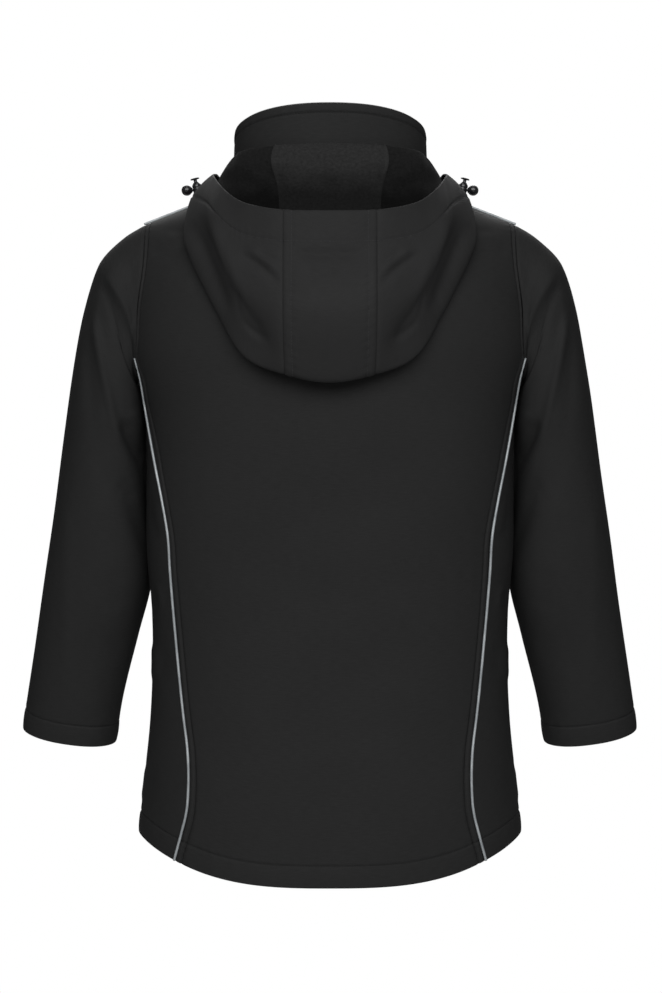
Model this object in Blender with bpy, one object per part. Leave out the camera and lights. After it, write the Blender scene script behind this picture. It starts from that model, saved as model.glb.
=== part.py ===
"""A hooded softshell jacket, filled out as worn, with its hood lying down the back.

It is built as it is sewn: back, side backs, fronts, set-in sleeves, stand collar and a three-panel hood, each
a thin wall of cloth, then piping, zip and drawcord fittings. Lengths are in millimetres until a mesh is made.
+Z is up, the back faces +Y and the wearer's left is +X. The origin is in the middle of the neck, level with
the inner ends of the shoulder seams.
"""

import math

import bmesh
import bpy
import numpy as np
from mathutils import Matrix, Vector

MM = 0.001

# Cloth and seams
CLOTH = 1.8
COLLAR_CLOTH = 4.0
HOOD_CLOTH = 2.2
SEAM_GAP = 0.3
PIPING_RADIUS = 1.5
PIPING_END = 0.985

# Torso sections: a superellipse at each height
SECTION_POWER = 2.3
TORSO = (  # height, half width, back depth, front depth
    (-800, 221, 131, 126),
    (-735, 220, 128, 124),
    (-680, 214.5, 124, 121),
    (-606, 206.5, 119, 117),
    (-532, 204, 116, 115),
    (-477, 204.5, 116, 116),
    (-417, 209, 119, 119),
    (-366, 211, 122, 123),
    (-279, 211, 127, 127),
    (-243, 214, 128, 127),
    (-218, 220.5, 128, 125),
    (-191, 228, 128, 122),
    (-130, 232, 127, 117),
    (-34, 233, 126, 112),
)
SIDE_HEM_Z = -732
BACK_HEM_DROP = 52.6
FRONT_HEM_DROP = 8
HEM_CURVE_POWER = 3

# Neckline and shoulders
NECK_HALF = 113
NECK_BACK = 72
NECK_FRONT = 80
NECK_POWER = 2.2
NECK_SIDE_Z = 2
NECK_BACK_Z = 18
NECK_FRONT_Z = -62
NECK_CURVE_POWER = 2.0
SHOULDER_X = 212.7
SHOULDER_Z = -37
SHOULDER_RISE_POWER = 2.0
ROUND_AT_NECK = 1.1
ROUND_AT_SHOULDER = 2.0

# Armholes, in equal steps of a turn that starts at the shoulder and goes round by the back
ARM_STEPS = 32
JOIN_STEP = 12
UNDERARM_STEP = 16
FRONT_JOIN_STEP = 20
UNDERARM_Z = -218
ARMHOLE_BACK = ((-191, 222), (-178, 221), (-136, 219.5), (-82, 213.5), (-37, 212.7))  # height, half width
ARMHOLE_FRONT = ((-191, 214), (-136, 206), (-82, 204), (-37, 212.7))  # height, half width

# Back princess seams: height, half width
PRINCESS = (
    (-790, 182),
    (-758, 174.5),
    (-730, 167),
    (-703, 160.5),
    (-676, 158.5),
    (-636, 159.5),
    (-596, 164.5),
    (-515, 173),
    (-434, 180),
    (-394, 182.5),
    (-353, 189.5),
    (-312, 198),
    (-271, 206),
    (-244, 211),
    (-216, 215.5),
    (-191, 222),
)

# Sleeve sections after the armhole, each a slanting oval
SLEEVE = (  # outer x, outer z, inner x, inner z, middle y, half depth, drop of the back edge
    (236, -51, 222.4, -219.5, -2, 46, 0),
    (259, -72, 220.6, -225, -4.5, 51.5, 0),
    (271, -93, 218.0, -232, -7.5, 54.5, 0),
    (282, -128, 214.9, -244, -13.5, 55.5, 0.02),
    (290, -165, 212.9, -259, -17.5, 58.5, 0.04),
    (299.5, -220, 211.6, -285, -23, 62, 0.08),
    (307.5, -275, 211, -320, -28, 60, 0.10),
    (317.5, -349, 210, -374, -32, 57, 0.14),
    (328.5, -423, 206, -440, -38, 54, 0.18),
    (339.5, -497, 222, -508, -48, 48, 0.22),
    (351, -572, 241, -584, -60, 42, 0.26),
    (358, -618, 249.5, -633, -68, 37.5, 0.30),
)
SLEEVE_POWER = 2.15
SLEEVE_RINGS = 22
FOLD_FADE = 0.08
SLEEVE_FOLDS = (  # from: ring share, turn share; to: ring share, turn share; half width, push out
    (0.19, 0.08, 0.04, 0.33, 0.042, 4.2),
    (0.31, 0.12, 0.14, 0.41, 0.072, -7.5),
    (0.29, 0.12, 0.57, 0.335, 0.024, 2.4),
    (0.36, 0.10, 0.58, 0.24, 0.034, -2.6),
    (0.48, 0.29, 0.575, 0.46, 0.030, -6.5),
    (0.62, 0.32, 0.72, 0.46, 0.026, -3.0),
    (0.62, 0.60, 0.74, 0.48, 0.026, -3.5),
    (0.20, 0.92, 0.38, 0.66, 0.030, -3.5),
)

# Collar
COLLAR_TOP_HALF = 110
COLLAR_TOP_BACK = 71
COLLAR_TOP_FRONT = 80
COLLAR_TOP_SIDE_Z = 65
COLLAR_TOP_BACK_RISE = 0.42
COLLAR_TOP_FRONT_FALL = 0.60
COLLAR_ROWS = 4
COLLAR_LIFT = 0.4

# Hood, at stations from the middle of the back round to its front end
HOOD_STATIONS = (  # turn round the neck, reach of the fold, share of the way past it, hollow under it
    (0, 9, 0.08, 10),
    (27, 9, 0.08, 9),
    (50, 8, 0.08, 7),
    (65, 6.5, 0.08, 5.5),
    (78, 6, 0.08, 4),
    (90, 6, 0.08, 2.5),
    (105, 7, 0.08, 1),
    (121, 7, 0.08, 0),
    (141, 4, 0.20, 0),
    (163, 0, 0.45, 0),
)
HOOD_HOLLOW_SHARE = 0.30
HOOD_FOLD = (  # x, y, z
    (0, 84, 49),
    (62, 77, 47),
    (96, 57, 44),
    (108, 39, 39),
    (116, 21, 31),
    (120, 1, 22),
    (120, -22, 10),
    (111, -48, -9),
    (85, -73, -30),
    (39.3, -83, -46),
)
HOOD_INNER = (  # x, y, z
    (0, 122, -75),
    (56, 118, -72),
    (98, 110, -62),
    (121, 90, -45),
    (138, 68, -26),
    (143, 36, -5),
    (139, -6, 4),
    (124, -46, -16),
    (94, -80, -34),
    (40.2, -86.5, -41.5),
)
HOOD_BOTTOM = (  # x, y, z
    (0, 152, -221),
    (50, 149, -212),
    (94, 136, -192),
    (124, 118, -143),
    (154, 93, -84),
    (163, 68, -50),
    (156, 12, -6.5),
    (142, -48, -19),
    (102, -86, -40),
    (41, -89.5, -38.5),
)
HOOD_VALLEY = (  # x, y, z
    (0, 166, -194),
    (51, 162, -188),
    (78, 149, -166),
    (103, 141, -134),
    (129, 120, -76),
    (149, 72, -30),
    (149.5, 16, 2),
    (140.5, -45.5, -12.5),
    (103.5, -88, -37.6),
    (41.3, -90.7, -37),
)
HOOD_OUTER = (  # x, y, z
    (0, 177.5, -143),
    (52, 172.5, -138),
    (92, 155, -122),
    (113, 139, -86),
    (131, 115, -47),
    (140, 72, -16),
    (142.5, 17, 9.5),
    (139.2, -43.1, -5.8),
    (105.5, -89.8, -35.1),
    (41.6, -91.7, -35.5),
)
HOOD_RIM = (  # x, y, z
    (0, 148, -33),
    (52, 146, -32),
    (84, 130, -26),
    (103, 112, -18),
    (119, 86, -4),
    (129, 52, 10),
    (133, 14, 18.5),
    (126.5, -28, 17),
    (106, -91, -30),
    (42.2, -94, -31.5),
)
HOOD_PART_SHARE = (0.30, 0.30, 0.62)
HOOD_NECK_GAP = 1.3
HOOD_NECK_LIFT = 5.2
HOOD_SEAM_STATION = 1
HOOD_CENTRE_COLUMNS = 3
HOOD_SIDE_COLUMNS = 13
HOOD_ROWS = (2, 2, 2, 2, 1, 3, 2, 2, 3)

# Zip
ZIP_HALF = 7
TAPE_DEPTH = 0.4
TAPE_CLOTH = 1.2
SLIDER_Z = 8
SLIDER_WIDTH = 9
SLIDER_HEIGHT = 13
SLIDER_PLATE = 2.2
SLIDER_EDGE = 1.5
ARCH_WIDTH = 2.2
ARCH_BAR = 1.4
ARCH_HALF_SPAN = 3.9
TAB_LENGTH = 27
TAB_WIDTH = 6.4
TAB_CLOTH = 1.4
TAB_HOLE_WIDTH = 3.4
TAB_HOLE_LENGTH = 5.4
PIN_STAND = 2.3

# Drawcord and its fittings
CORD_RADIUS = 1.5
CORD_RISE = 4
CORD_THROUGH_LOCK = (-10, -6, 5.5)
CORD_POINTS = 14
LOCK_PLACE = (153.8, -45, 7)
LOCK_LEAN = 14
LOCK_PROFILE = (  # radius, height
    (0, 9.5),
    (2.95, 9.5),
    (5.2, 6.4),
    (5.3, 5.2),
    (5.3, -7.6),
    (4.2, -9),
    (0, -9),
)
LOCK_BORE_RADIUS = 3.5
LOCK_BORE = (-7.5, 6.5)
LOCK_MOUTH_RADIUS = 2.4
LOCK_CROSS_RADIUS = 2.0
LOCK_CUT = 12
PLUNGER_PROFILE = (  # radius, height
    (0, 14.6),
    (4.5, 14.6),
    (5.3, 13.9),
    (5.3, 13.3),
    (4.6, 12.9),
    (2.0, 12.9),
    (2.0, 6.2),
    (3.1, 6.2),
    (3.1, -4.6),
    (0, -4.6),
)
PLUNGER_SLOT = (-2.6, 5.0)
PLUNGER_SLOT_WIDTH = 3.6
BALL_RADIUS = 6.3
BALL_PLACE = (166.4, -45, 7)
EYELET_STATION = 7.3
EYELET_RISE = 0.922
EYELET_LIFT = -0.2
EYELET_INNER = 2.3
EYELET_OUTER = 4.0
EYELET_CLOTH = 1.2
ROUND_SIDES = 14
BALL_STEPS = 10
CLOTH_SHARP = 50
HARD_SHARP = 40

CLOTH_BLACK = (0.016, 0.017, 0.018)
FLEECE_BLACK = (0.022, 0.022, 0.023)
REFLECTIVE_GREY = (0.24, 0.26, 0.27)
PLASTIC_BLACK = (0.012, 0.012, 0.013)


def clear_scene():
    for item in list(bpy.data.objects):
        bpy.data.objects.remove(item, do_unlink=True)


def spline(keys, values, at):
    """A smooth curve through the values at the rising keys, read at other keys."""
    keys = np.asarray(keys, float)
    values = np.asarray(values, float)
    step = np.diff(keys)
    rise = np.diff(values) / step
    inner = (rise[:-1] * step[1:] + rise[1:] * step[:-1]) / (step[:-1] + step[1:])
    slope = np.concatenate([rise[:1], inner, rise[-1:]])
    i = np.clip(np.searchsorted(keys, at) - 1, 0, len(step) - 1)
    t = (at - keys[i]) / step[i]
    low = (2 * t**3 - 3 * t**2 + 1) * values[i] + (t**3 - 2 * t**2 + t) * step[i] * slope[i]
    return low + (3 * t**2 - 2 * t**3) * values[i + 1] + (t**3 - t**2) * step[i] * slope[i + 1]


def column(table, number):
    return [row[number] for row in table]


def bent(value, exponent):
    """A power that keeps the sign."""
    return np.sign(value) * np.abs(value) ** exponent


def unit(vectors):
    return vectors / np.linalg.norm(vectors, axis=-1, keepdims=True)


def points(x, y, z):
    return np.stack(np.broadcast_arrays(x, y, z), axis=-1)


# Torso surface


def torso(height, face, inset):
    """Half width and depth of the torso's section; face is 1 for the back and -1 for the front."""
    heights = column(TORSO, 0)
    depth = column(TORSO, 2 if face > 0 else 3)
    return spline(heights, column(TORSO, 1), height) - inset, spline(heights, depth, height) - inset


def section_angle(x, height):
    """The angle from the middle of the section at which it is x wide, the same for its outside and inside."""
    half_width = spline(column(TORSO, 0), column(TORSO, 1), height)
    return np.arcsin(np.clip(x / half_width, -1, 1) ** (SECTION_POWER / 2))


def section(height, angle, face, inset):
    half_width, depth = torso(height, face, inset)
    x = half_width * bent(np.sin(angle), 2 / SECTION_POWER)
    y = face * depth * bent(np.cos(angle), 2 / SECTION_POWER)
    return x, y


def hem_height(angle, face):
    drop = BACK_HEM_DROP if face > 0 else FRONT_HEM_DROP
    share = np.abs(np.sin(angle)) ** (2 * HEM_CURVE_POWER / SECTION_POWER)
    return SIDE_HEM_Z - drop * (1 - share)


def neckline(x, face, inset):
    """Depth and height of the neckline at x from the middle."""
    share = np.clip(1 - np.clip(np.abs(x) / NECK_HALF, 0, 1) ** NECK_POWER, 0, 1) ** (1 / NECK_POWER)
    depth = NECK_BACK if face > 0 else NECK_FRONT
    middle = NECK_BACK_Z if face > 0 else NECK_FRONT_Z
    height = NECK_SIDE_Z + (middle - NECK_SIDE_Z) * share**NECK_CURVE_POWER
    return face * (depth - inset) * share, height - inset


def top_line(x, face, inset):
    """The neckline, and past its end the shoulder seam."""
    depth, height = neckline(x, face, inset)
    slope = (SHOULDER_Z - NECK_SIDE_Z) / (SHOULDER_X - NECK_HALF)
    past = np.maximum(np.abs(x) - NECK_HALF, 0)
    return depth, height + slope * past


def upper_torso(base, edge_height, angle, top_angle, face, inset):
    """Rows that round over from the base height to the neckline and the shoulder seam."""
    share = (edge_height - base) / (SHOULDER_Z - base)
    x, y = section(edge_height, angle, face, inset)
    top_x, _ = section(SHOULDER_Z, top_angle, face, 0)
    top_y, top_z = top_line(top_x, face, inset)
    out = np.clip(np.abs(top_x) / NECK_HALF, 0, 1)
    roundness = ROUND_AT_NECK + (ROUND_AT_SHOULDER - ROUND_AT_NECK) * out**2 * (3 - 2 * out)
    keep = np.clip(1 - share**SHOULDER_RISE_POWER, 0, 1) ** (1 / roundness)
    return points(x, top_y + (y - top_y) * keep, base + share * (top_z - base))


def armhole_height(step):
    middle = (SHOULDER_Z + UNDERARM_Z) / 2
    return middle + (SHOULDER_Z - middle) * np.cos(2 * np.pi * np.asarray(step) / ARM_STEPS)


def armhole_angle(step):
    """The section angle of the armhole's edge at a step round it."""
    step = np.asarray(step, float)
    height = armhole_height(step)
    back = section_angle(spline(column(ARMHOLE_BACK, 0), column(ARMHOLE_BACK, 1), height), height)
    front = section_angle(spline(column(ARMHOLE_FRONT, 0), column(ARMHOLE_FRONT, 1), height), height)
    join = section_angle(ARMHOLE_FRONT[0][1], ARMHOLE_FRONT[0][0])
    low = np.pi / 2 + (join - np.pi / 2) * (step - UNDERARM_STEP) / (FRONT_JOIN_STEP - UNDERARM_STEP)
    return np.where(step <= JOIN_STEP, back, np.where(step < FRONT_JOIN_STEP, low, front))


JOIN_Z = float(armhole_height(JOIN_STEP))
TOP_ANGLE = float(section_angle(SHOULDER_X, SHOULDER_Z))


def princess_angle(height):
    return section_angle(spline(column(PRINCESS, 0), column(PRINCESS, 1), height), height)


def lower_torso(rise, top, angle_at, face, inset):
    """Rows from the hem up to the top height; angle_at gives a row's section angles from its heights."""
    height = np.broadcast_to(top, np.broadcast_shapes(np.shape(rise), np.shape(top)))
    for _ in range(3):
        hem = hem_height(angle_at(height), face)
        height = hem + rise * (top - hem)
    x, y = section(height, angle_at(height), face, inset)
    return points(x, y, height)


def back_centre(across, rises, arm_steps, inset):
    """The centre back, by shares from -1 to 1 across it, from the hem to the neckline and shoulders."""
    across = np.asarray(across)[None, :]
    low = lower_torso(np.asarray(rises)[:, None], JOIN_Z, lambda z: across * princess_angle(z), 1, inset)
    steps = np.asarray(arm_steps)[:, None]
    edge = armhole_height(steps)
    high = upper_torso(JOIN_Z, edge, across * armhole_angle(steps), across * TOP_ANGLE, 1, inset)
    return np.concatenate([low, high])


def back_side(across, rises, inset):
    """The left side back, by shares from the princess seam to the side seam."""
    across = np.asarray(across)[None, :]
    top = armhole_height(JOIN_STEP + across * (UNDERARM_STEP - JOIN_STEP))

    def angle_at(height):
        seam = princess_angle(height)
        return seam + across * (np.pi / 2 - seam)

    return lower_torso(np.asarray(rises)[:, None], top, angle_at, 1, inset)


def front(across, rises, arm_steps, inset):
    """The left front, by shares from the zip to the side seam and armhole."""
    across = np.asarray(across)[None, :]

    def between(height, edge_angle):
        start = section_angle(ZIP_HALF, height)
        return start + across * (edge_angle - start)

    low = lower_torso(np.asarray(rises)[:, None], UNDERARM_Z, lambda z: between(z, np.pi / 2), -1, inset)
    steps = np.asarray(arm_steps)[:, None]
    edge = armhole_height(steps)
    high = upper_torso(
        UNDERARM_Z, edge, between(edge, armhole_angle(steps)), between(SHOULDER_Z, TOP_ANGLE), -1, inset
    )
    return np.concatenate([low, high])


# Sleeves


def armhole_ring(steps):
    """The left armhole's edge, from the shoulder round by the back, underarm and front."""
    steps = np.asarray(steps, float)
    by_back = np.clip(steps, 0, JOIN_STEP)
    back = back_centre([1], [], by_back, 0)[:, 0]
    under = (np.clip(steps, JOIN_STEP, UNDERARM_STEP) - JOIN_STEP) / (UNDERARM_STEP - JOIN_STEP)
    side = back_side(under, [1], 0)[0]
    ahead = front([1], [], np.clip(steps, UNDERARM_STEP, ARM_STEPS), 0)[:, 0]
    where = steps[:, None]
    return np.where(where <= JOIN_STEP, back, np.where(where < UNDERARM_STEP, side, ahead))


def sleeve_ring(row, turn):
    """One slanting oval of the sleeve; the turn starts at its outer side and goes round by the back."""
    outer_x, outer_z, inner_x, inner_z, middle_y, half_depth, drop = row
    out = bent(np.cos(turn), 2 / SLEEVE_POWER)
    back = bent(np.sin(turn), 2 / SLEEVE_POWER)
    x = (outer_x + inner_x) / 2 + out * (outer_x - inner_x) / 2
    z = (outer_z + inner_z) / 2 + out * (outer_z - inner_z) / 2 - drop * half_depth * back
    return points(x, middle_y + half_depth * back, z)


def fold_push(along, around, folds):
    """How far folds push the cloth out, each a soft ridge or trough on a line between two places."""
    push = np.zeros(np.broadcast_shapes(np.shape(along), np.shape(around)))
    for from_along, from_around, to_along, to_around, half_width, height in folds:
        run = np.array([to_along - from_along, to_around - from_around])
        length = run @ run
        share = ((along - from_along) * run[0] + (around - from_around) * run[1]) / length
        share = np.clip(share, 0, 1)
        off_along = along - from_along - share * run[0]
        off_around = around - from_around - share * run[1]
        near = np.exp(-(off_along**2 + off_around**2) / half_width**2)
        push += height * near * np.sin(np.pi * np.clip(share, FOLD_FADE, 1 - FOLD_FADE))
    return push


def sleeve(shares, steps, inset):
    """The left sleeve, by shares from the armhole to the cuff and steps round it."""
    turn = 2 * np.pi * np.asarray(steps) / ARM_STEPS
    rings = [armhole_ring(steps)]
    rings += [sleeve_ring(row, turn) for row in SLEEVE]
    rings = np.array(rings)
    keys = np.linspace(0, 1, len(rings))
    shares = np.asarray(shares)
    flat = rings.reshape(len(rings), -1)
    grid = np.stack([spline(keys, flat[:, i], shares) for i in range(flat.shape[1])], axis=-1)
    grid = grid.reshape(len(shares), len(turn), 3)
    push = fold_push(shares[:, None], np.asarray(steps)[None, :] / ARM_STEPS, SLEEVE_FOLDS)
    grid = grid + tube_normals(grid) * push[..., None]
    return grid - tube_normals(grid) * inset


# Collar


def collar(turns, rises, inset):
    """The stand collar, by turns from its left front end round by the back and by shares of its height."""
    turns = np.asarray(turns)[None, :]
    rises = np.asarray(rises)[:, None]
    side = bent(np.sin(turns), 2 / NECK_POWER)
    ahead = bent(np.cos(turns), 2 / NECK_POWER)
    base_depth = np.where(ahead > 0, NECK_FRONT, NECK_BACK) - inset
    top_depth = np.where(ahead > 0, COLLAR_TOP_FRONT, COLLAR_TOP_BACK) - inset
    share = np.abs(ahead)
    middle_z = np.where(ahead > 0, NECK_FRONT_Z, NECK_BACK_Z)
    base_z = NECK_SIDE_Z + (middle_z - NECK_SIDE_Z) * share**NECK_CURVE_POWER
    slope = np.where(ahead > 0, -COLLAR_TOP_FRONT_FALL, COLLAR_TOP_BACK_RISE)
    top_z = COLLAR_TOP_SIDE_Z + slope * share * np.where(ahead > 0, COLLAR_TOP_FRONT, COLLAR_TOP_BACK)
    x = side * (NECK_HALF - inset + rises * (COLLAR_TOP_HALF - NECK_HALF))
    y = -ahead * (base_depth + rises * (top_depth - base_depth))
    return points(x, y, base_z + COLLAR_LIFT + rises * (top_z - base_z))


# Hood


def hood_lines(stations):
    """The lines that shape the hood at the stations, from its neck edge over the fold and on to its rim."""
    keys = np.arange(len(HOOD_STATIONS))
    mirror_keys = np.arange(-1, len(HOOD_STATIONS))

    def along(values):
        values = np.asarray(values, float)
        values = np.concatenate([mirrored(values[1:2]), values])
        return np.stack([spline(mirror_keys, values[:, i], stations) for i in range(3)], axis=-1)

    turn = np.pi - np.radians(spline(keys, column(HOOD_STATIONS, 0), stations))
    neck = collar(turn, [0], -HOOD_NECK_GAP)[0]
    neck[:, 2] += HOOD_NECK_LIFT
    fold = along(HOOD_FOLD)
    inner = along(HOOD_INNER)
    bottom = along(HOOD_BOTTOM)
    valley = along(HOOD_VALLEY)
    outer = along(HOOD_OUTER)
    rim = along(HOOD_RIM)
    outward = unit((fold - neck) * np.array([1, 1, 0]))
    reach = spline(keys, column(HOOD_STATIONS, 1), stations)[:, None]
    share = spline(keys, column(HOOD_STATIONS, 2), stations)[:, None]
    past = fold + (inner - fold) * share + outward * reach - np.array([0, 0, 1]) * reach
    depth = spline(keys, column(HOOD_STATIONS, 3), stations)[:, None]
    hollow = past + (inner - past) * HOOD_HOLLOW_SHARE - outward * depth
    part = neck + (fold - neck) * np.array(HOOD_PART_SHARE)
    return [neck, part, fold, past, hollow, inner, bottom, valley, outer, rim]


def hood(stations, rows):
    """The hood's fleece side, by stations from the middle round to the left and rows from neck to rim."""
    lines = np.array(hood_lines(np.asarray(stations, float)))
    grid = []
    for line in lines.transpose(1, 0, 2):
        keys = np.concatenate([[0], np.cumsum(np.sqrt(np.linalg.norm(np.diff(line, axis=0), axis=1)))])
        at = np.concatenate(
            [np.linspace(keys[i], keys[i + 1], n, endpoint=False) for i, n in enumerate(rows)] + [keys[-1:]]
        )
        grid.append(np.stack([spline(keys, line[:, i], at) for i in range(3)], axis=-1))
    return np.array(grid).transpose(1, 0, 2)


def grid_normals(grid):
    """Normals at the points of a grid, each the middle of those of the faces round it."""
    down = grid[1:] - grid[:-1]
    across = grid[:, 1:] - grid[:, :-1]
    face = unit(np.cross(down[:, 1:] + down[:, :-1], across[1:] + across[:-1]))
    face = np.pad(face, ((1, 1), (1, 1), (0, 0)), mode="edge")
    return unit(face[1:, 1:] + face[1:, :-1] + face[:-1, 1:] + face[:-1, :-1])


def tube_normals(grid):
    """Normals of a grid that closes on itself across."""
    down = np.gradient(grid, axis=0)
    across = np.roll(grid, -1, axis=1) - np.roll(grid, 1, axis=1)
    return unit(np.cross(down, across))


def mirrored(grid):
    return grid * np.array([-1, 1, 1])


# Meshes


def material(name, colour, roughness, metallic=0.0):
    made = bpy.data.materials.new(name)
    made.use_nodes = True
    shader = made.node_tree.nodes["Principled BSDF"]
    shader.inputs["Base Color"].default_value = (*colour, 1)
    shader.inputs["Roughness"].default_value = roughness
    shader.inputs["Metallic"].default_value = metallic
    made.diffuse_color = (*colour, 1)
    return made


def add_mesh(name, vertices, faces, finish):
    """An object from points in millimetres and faces, turned to point out."""
    mesh = bpy.data.meshes.new(name)
    mesh.from_pydata((np.asarray(vertices) * MM).tolist(), [], faces)
    body = bmesh.new()
    body.from_mesh(mesh)
    bmesh.ops.recalc_face_normals(body, faces=body.faces)
    body.to_mesh(mesh)
    body.free()
    mesh.shade_smooth()
    mesh.set_sharp_from_angle(angle=math.radians(CLOTH_SHARP))
    item = bpy.data.objects.new(name, mesh)
    bpy.context.scene.collection.objects.link(item)
    mesh.materials.append(material(name, *finish))
    return item


def wall(name, outside, inside, finish, round_tube=False):
    """A thin wall between two grids of points, closed along its edges."""
    rows, columns = outside.shape[:2]
    count = rows * columns
    last = columns if round_tube else columns - 1

    def corner(row, number, side):
        return side * count + row * columns + number % columns

    faces = []
    for row in range(rows - 1):
        for number in range(last):
            quad = [(row, number), (row, number + 1), (row + 1, number + 1), (row + 1, number)]
            a, b, c, d = [outside[i, j % columns] for i, j in quad]
            start = 0 if np.linalg.norm(c - a) < np.linalg.norm(d - b) - SEAM_GAP else 1
            for triangle in ((0, 1, 2), (0, 2, 3)):
                places = [quad[(start + i) % 4] for i in triangle]
                faces.append([corner(*place, 0) for place in places])
                faces.append([corner(*place, 1) for place in reversed(places)])
    edges = [((row, number), (row, number + 1)) for row in (0, rows - 1) for number in range(last)]
    if not round_tube:
        for number in (0, columns - 1):
            edges += [((row, number), (row + 1, number)) for row in range(rows - 1)]
    for start, end in edges:
        faces.append([corner(*start, 0), corner(*end, 0), corner(*end, 1), corner(*start, 1)])
    return add_mesh(name, np.concatenate([outside.reshape(-1, 3), inside.reshape(-1, 3)]), faces, finish)


def draw_in(grid, edges, gap=SEAM_GAP / 2):
    """Move the named edges of a grid in by half the seam gap."""
    grid = grid.copy()
    if "start" in edges:
        grid[:, 0] += unit(grid[:, 1] - grid[:, 0]) * gap
    if "end" in edges:
        grid[:, -1] += unit(grid[:, -2] - grid[:, -1]) * gap
    if "top" in edges:
        grid[-1] += unit(grid[-2] - grid[-1]) * gap
    return grid


def cloth_panel(name, surface, edges, finish, mirror=False, cloth=CLOTH):
    """A panel from a surface function of the distance under the outside."""
    outside = draw_in(surface(0), edges)
    inside = draw_in(surface(cloth), edges)
    if mirror:
        outside = mirrored(outside)
        inside = mirrored(inside)
    return wall(name, outside, inside, finish)


def rod(name, line, radius, finish, resolution=1):
    """A round rod along a line of points, with flat ends."""
    curve = bpy.data.curves.new(name, "CURVE")
    curve.dimensions = "3D"
    curve.bevel_depth = radius * MM
    curve.bevel_resolution = resolution
    curve.use_fill_caps = True
    path = curve.splines.new("POLY")
    path.points.add(len(line) - 1)
    for point, place in zip(path.points, line):
        point.co = (*(np.asarray(place) * MM), 1)
    item = bpy.data.objects.new(name, curve)
    bpy.context.scene.collection.objects.link(item)
    curve.materials.append(material(name, *finish))
    return item


def turned(name, profile, finish, closed=False):
    """A body turned about Z from a profile of radius and height, top to bottom."""
    body = bmesh.new()
    line = [body.verts.new((radius * MM, 0, height * MM)) for radius, height in profile]
    pairs = list(zip(line, line[1:]))
    if closed:
        pairs.append((line[-1], line[0]))
    edges = [body.edges.new(pair) for pair in pairs]
    bmesh.ops.spin(
        body,
        geom=line + edges,
        cent=(0, 0, 0),
        axis=(0, 0, 1),
        angle=2 * math.pi,
        steps=ROUND_SIDES,
        use_merge=True,
    )
    bmesh.ops.remove_doubles(body, verts=body.verts, dist=1e-6)
    bmesh.ops.recalc_face_normals(body, faces=body.faces)
    mesh = bpy.data.meshes.new(name)
    body.to_mesh(mesh)
    body.free()
    mesh.shade_smooth()
    mesh.set_sharp_from_angle(angle=math.radians(HARD_SHARP))
    item = bpy.data.objects.new(name, mesh)
    bpy.context.scene.collection.objects.link(item)
    if finish:
        mesh.materials.append(material(name, *finish))
    return item


def block(name, size, centre, finish=None, edge=0.0):
    """A box with bevelled edges."""
    body = bmesh.new()
    bmesh.ops.create_cube(body, size=1)
    bmesh.ops.scale(body, vec=Vector(size) * MM, verts=body.verts)
    if edge:
        bmesh.ops.bevel(
            body,
            geom=body.edges[:],
            offset=edge * MM,
            segments=2,
            profile=0.5,
            affect="EDGES",
            clamp_overlap=True,
        )
    bmesh.ops.translate(body, vec=Vector(centre) * MM, verts=body.verts)
    mesh = bpy.data.meshes.new(name)
    body.to_mesh(mesh)
    body.free()
    item = bpy.data.objects.new(name, mesh)
    bpy.context.scene.collection.objects.link(item)
    if finish:
        mesh.materials.append(material(name, *finish))
    return item


def combine(item, other, operation):
    """Cut another object out of an item, or join it on, and drop the other."""
    change = item.modifiers.new(other.name, "BOOLEAN")
    change.operation = operation
    change.object = other
    bpy.context.view_layer.update()
    mesh = bpy.data.meshes.new_from_object(item.evaluated_get(bpy.context.evaluated_depsgraph_get()))
    item.modifiers.clear()
    old = item.data
    item.data = mesh
    bpy.data.meshes.remove(old)
    bpy.data.objects.remove(other, do_unlink=True)


CLOTH_FINISH = (CLOTH_BLACK, 0.75)
HOOD_FINISH = (FLEECE_BLACK, 0.8)
PIPING_FINISH = (REFLECTIVE_GREY, 0.4)
PLASTIC_FINISH = (PLASTIC_BLACK, 0.3)

# Shares across and up the panels; the collar's columns stand on those of the neckline
NECK_COLUMNS = 6
SHOULDER_COLUMNS = 3
RISES = np.linspace(0, 1, 14)
SIDE_ACROSS = np.linspace(0, 1, UNDERARM_STEP - JOIN_STEP + 1)
BACK_STEPS = np.arange(JOIN_STEP - 1, -1, -1)
FRONT_STEPS = np.arange(UNDERARM_STEP + 1, ARM_STEPS + 1)
SIDES = (("left", False), ("right", True))


def top_shares(turns, start_angle):
    """Shares across a panel whose top edge has the neckline's points at these turns, then the shoulder's."""
    neck = section_angle(NECK_HALF * np.sin(turns) ** (2 / NECK_POWER), SHOULDER_Z)
    neck = (neck - start_angle) / (TOP_ANGLE - start_angle)
    return np.concatenate([neck, np.linspace(neck[-1], 1, SHOULDER_COLUMNS + 1)[1:]])


COLLAR_END = math.asin((ZIP_HALF / NECK_HALF) ** (NECK_POWER / 2))
BACK_TURNS = np.linspace(0, np.pi / 2, NECK_COLUMNS + 1)
FRONT_TURNS = np.linspace(COLLAR_END, np.pi / 2, NECK_COLUMNS + 1)
HALF_ACROSS = top_shares(BACK_TURNS, 0)
CENTRE_ACROSS = np.concatenate([-HALF_ACROSS[:0:-1], HALF_ACROSS])
FRONT_ACROSS = top_shares(FRONT_TURNS, float(section_angle(ZIP_HALF, SHOULDER_Z)))


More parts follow.
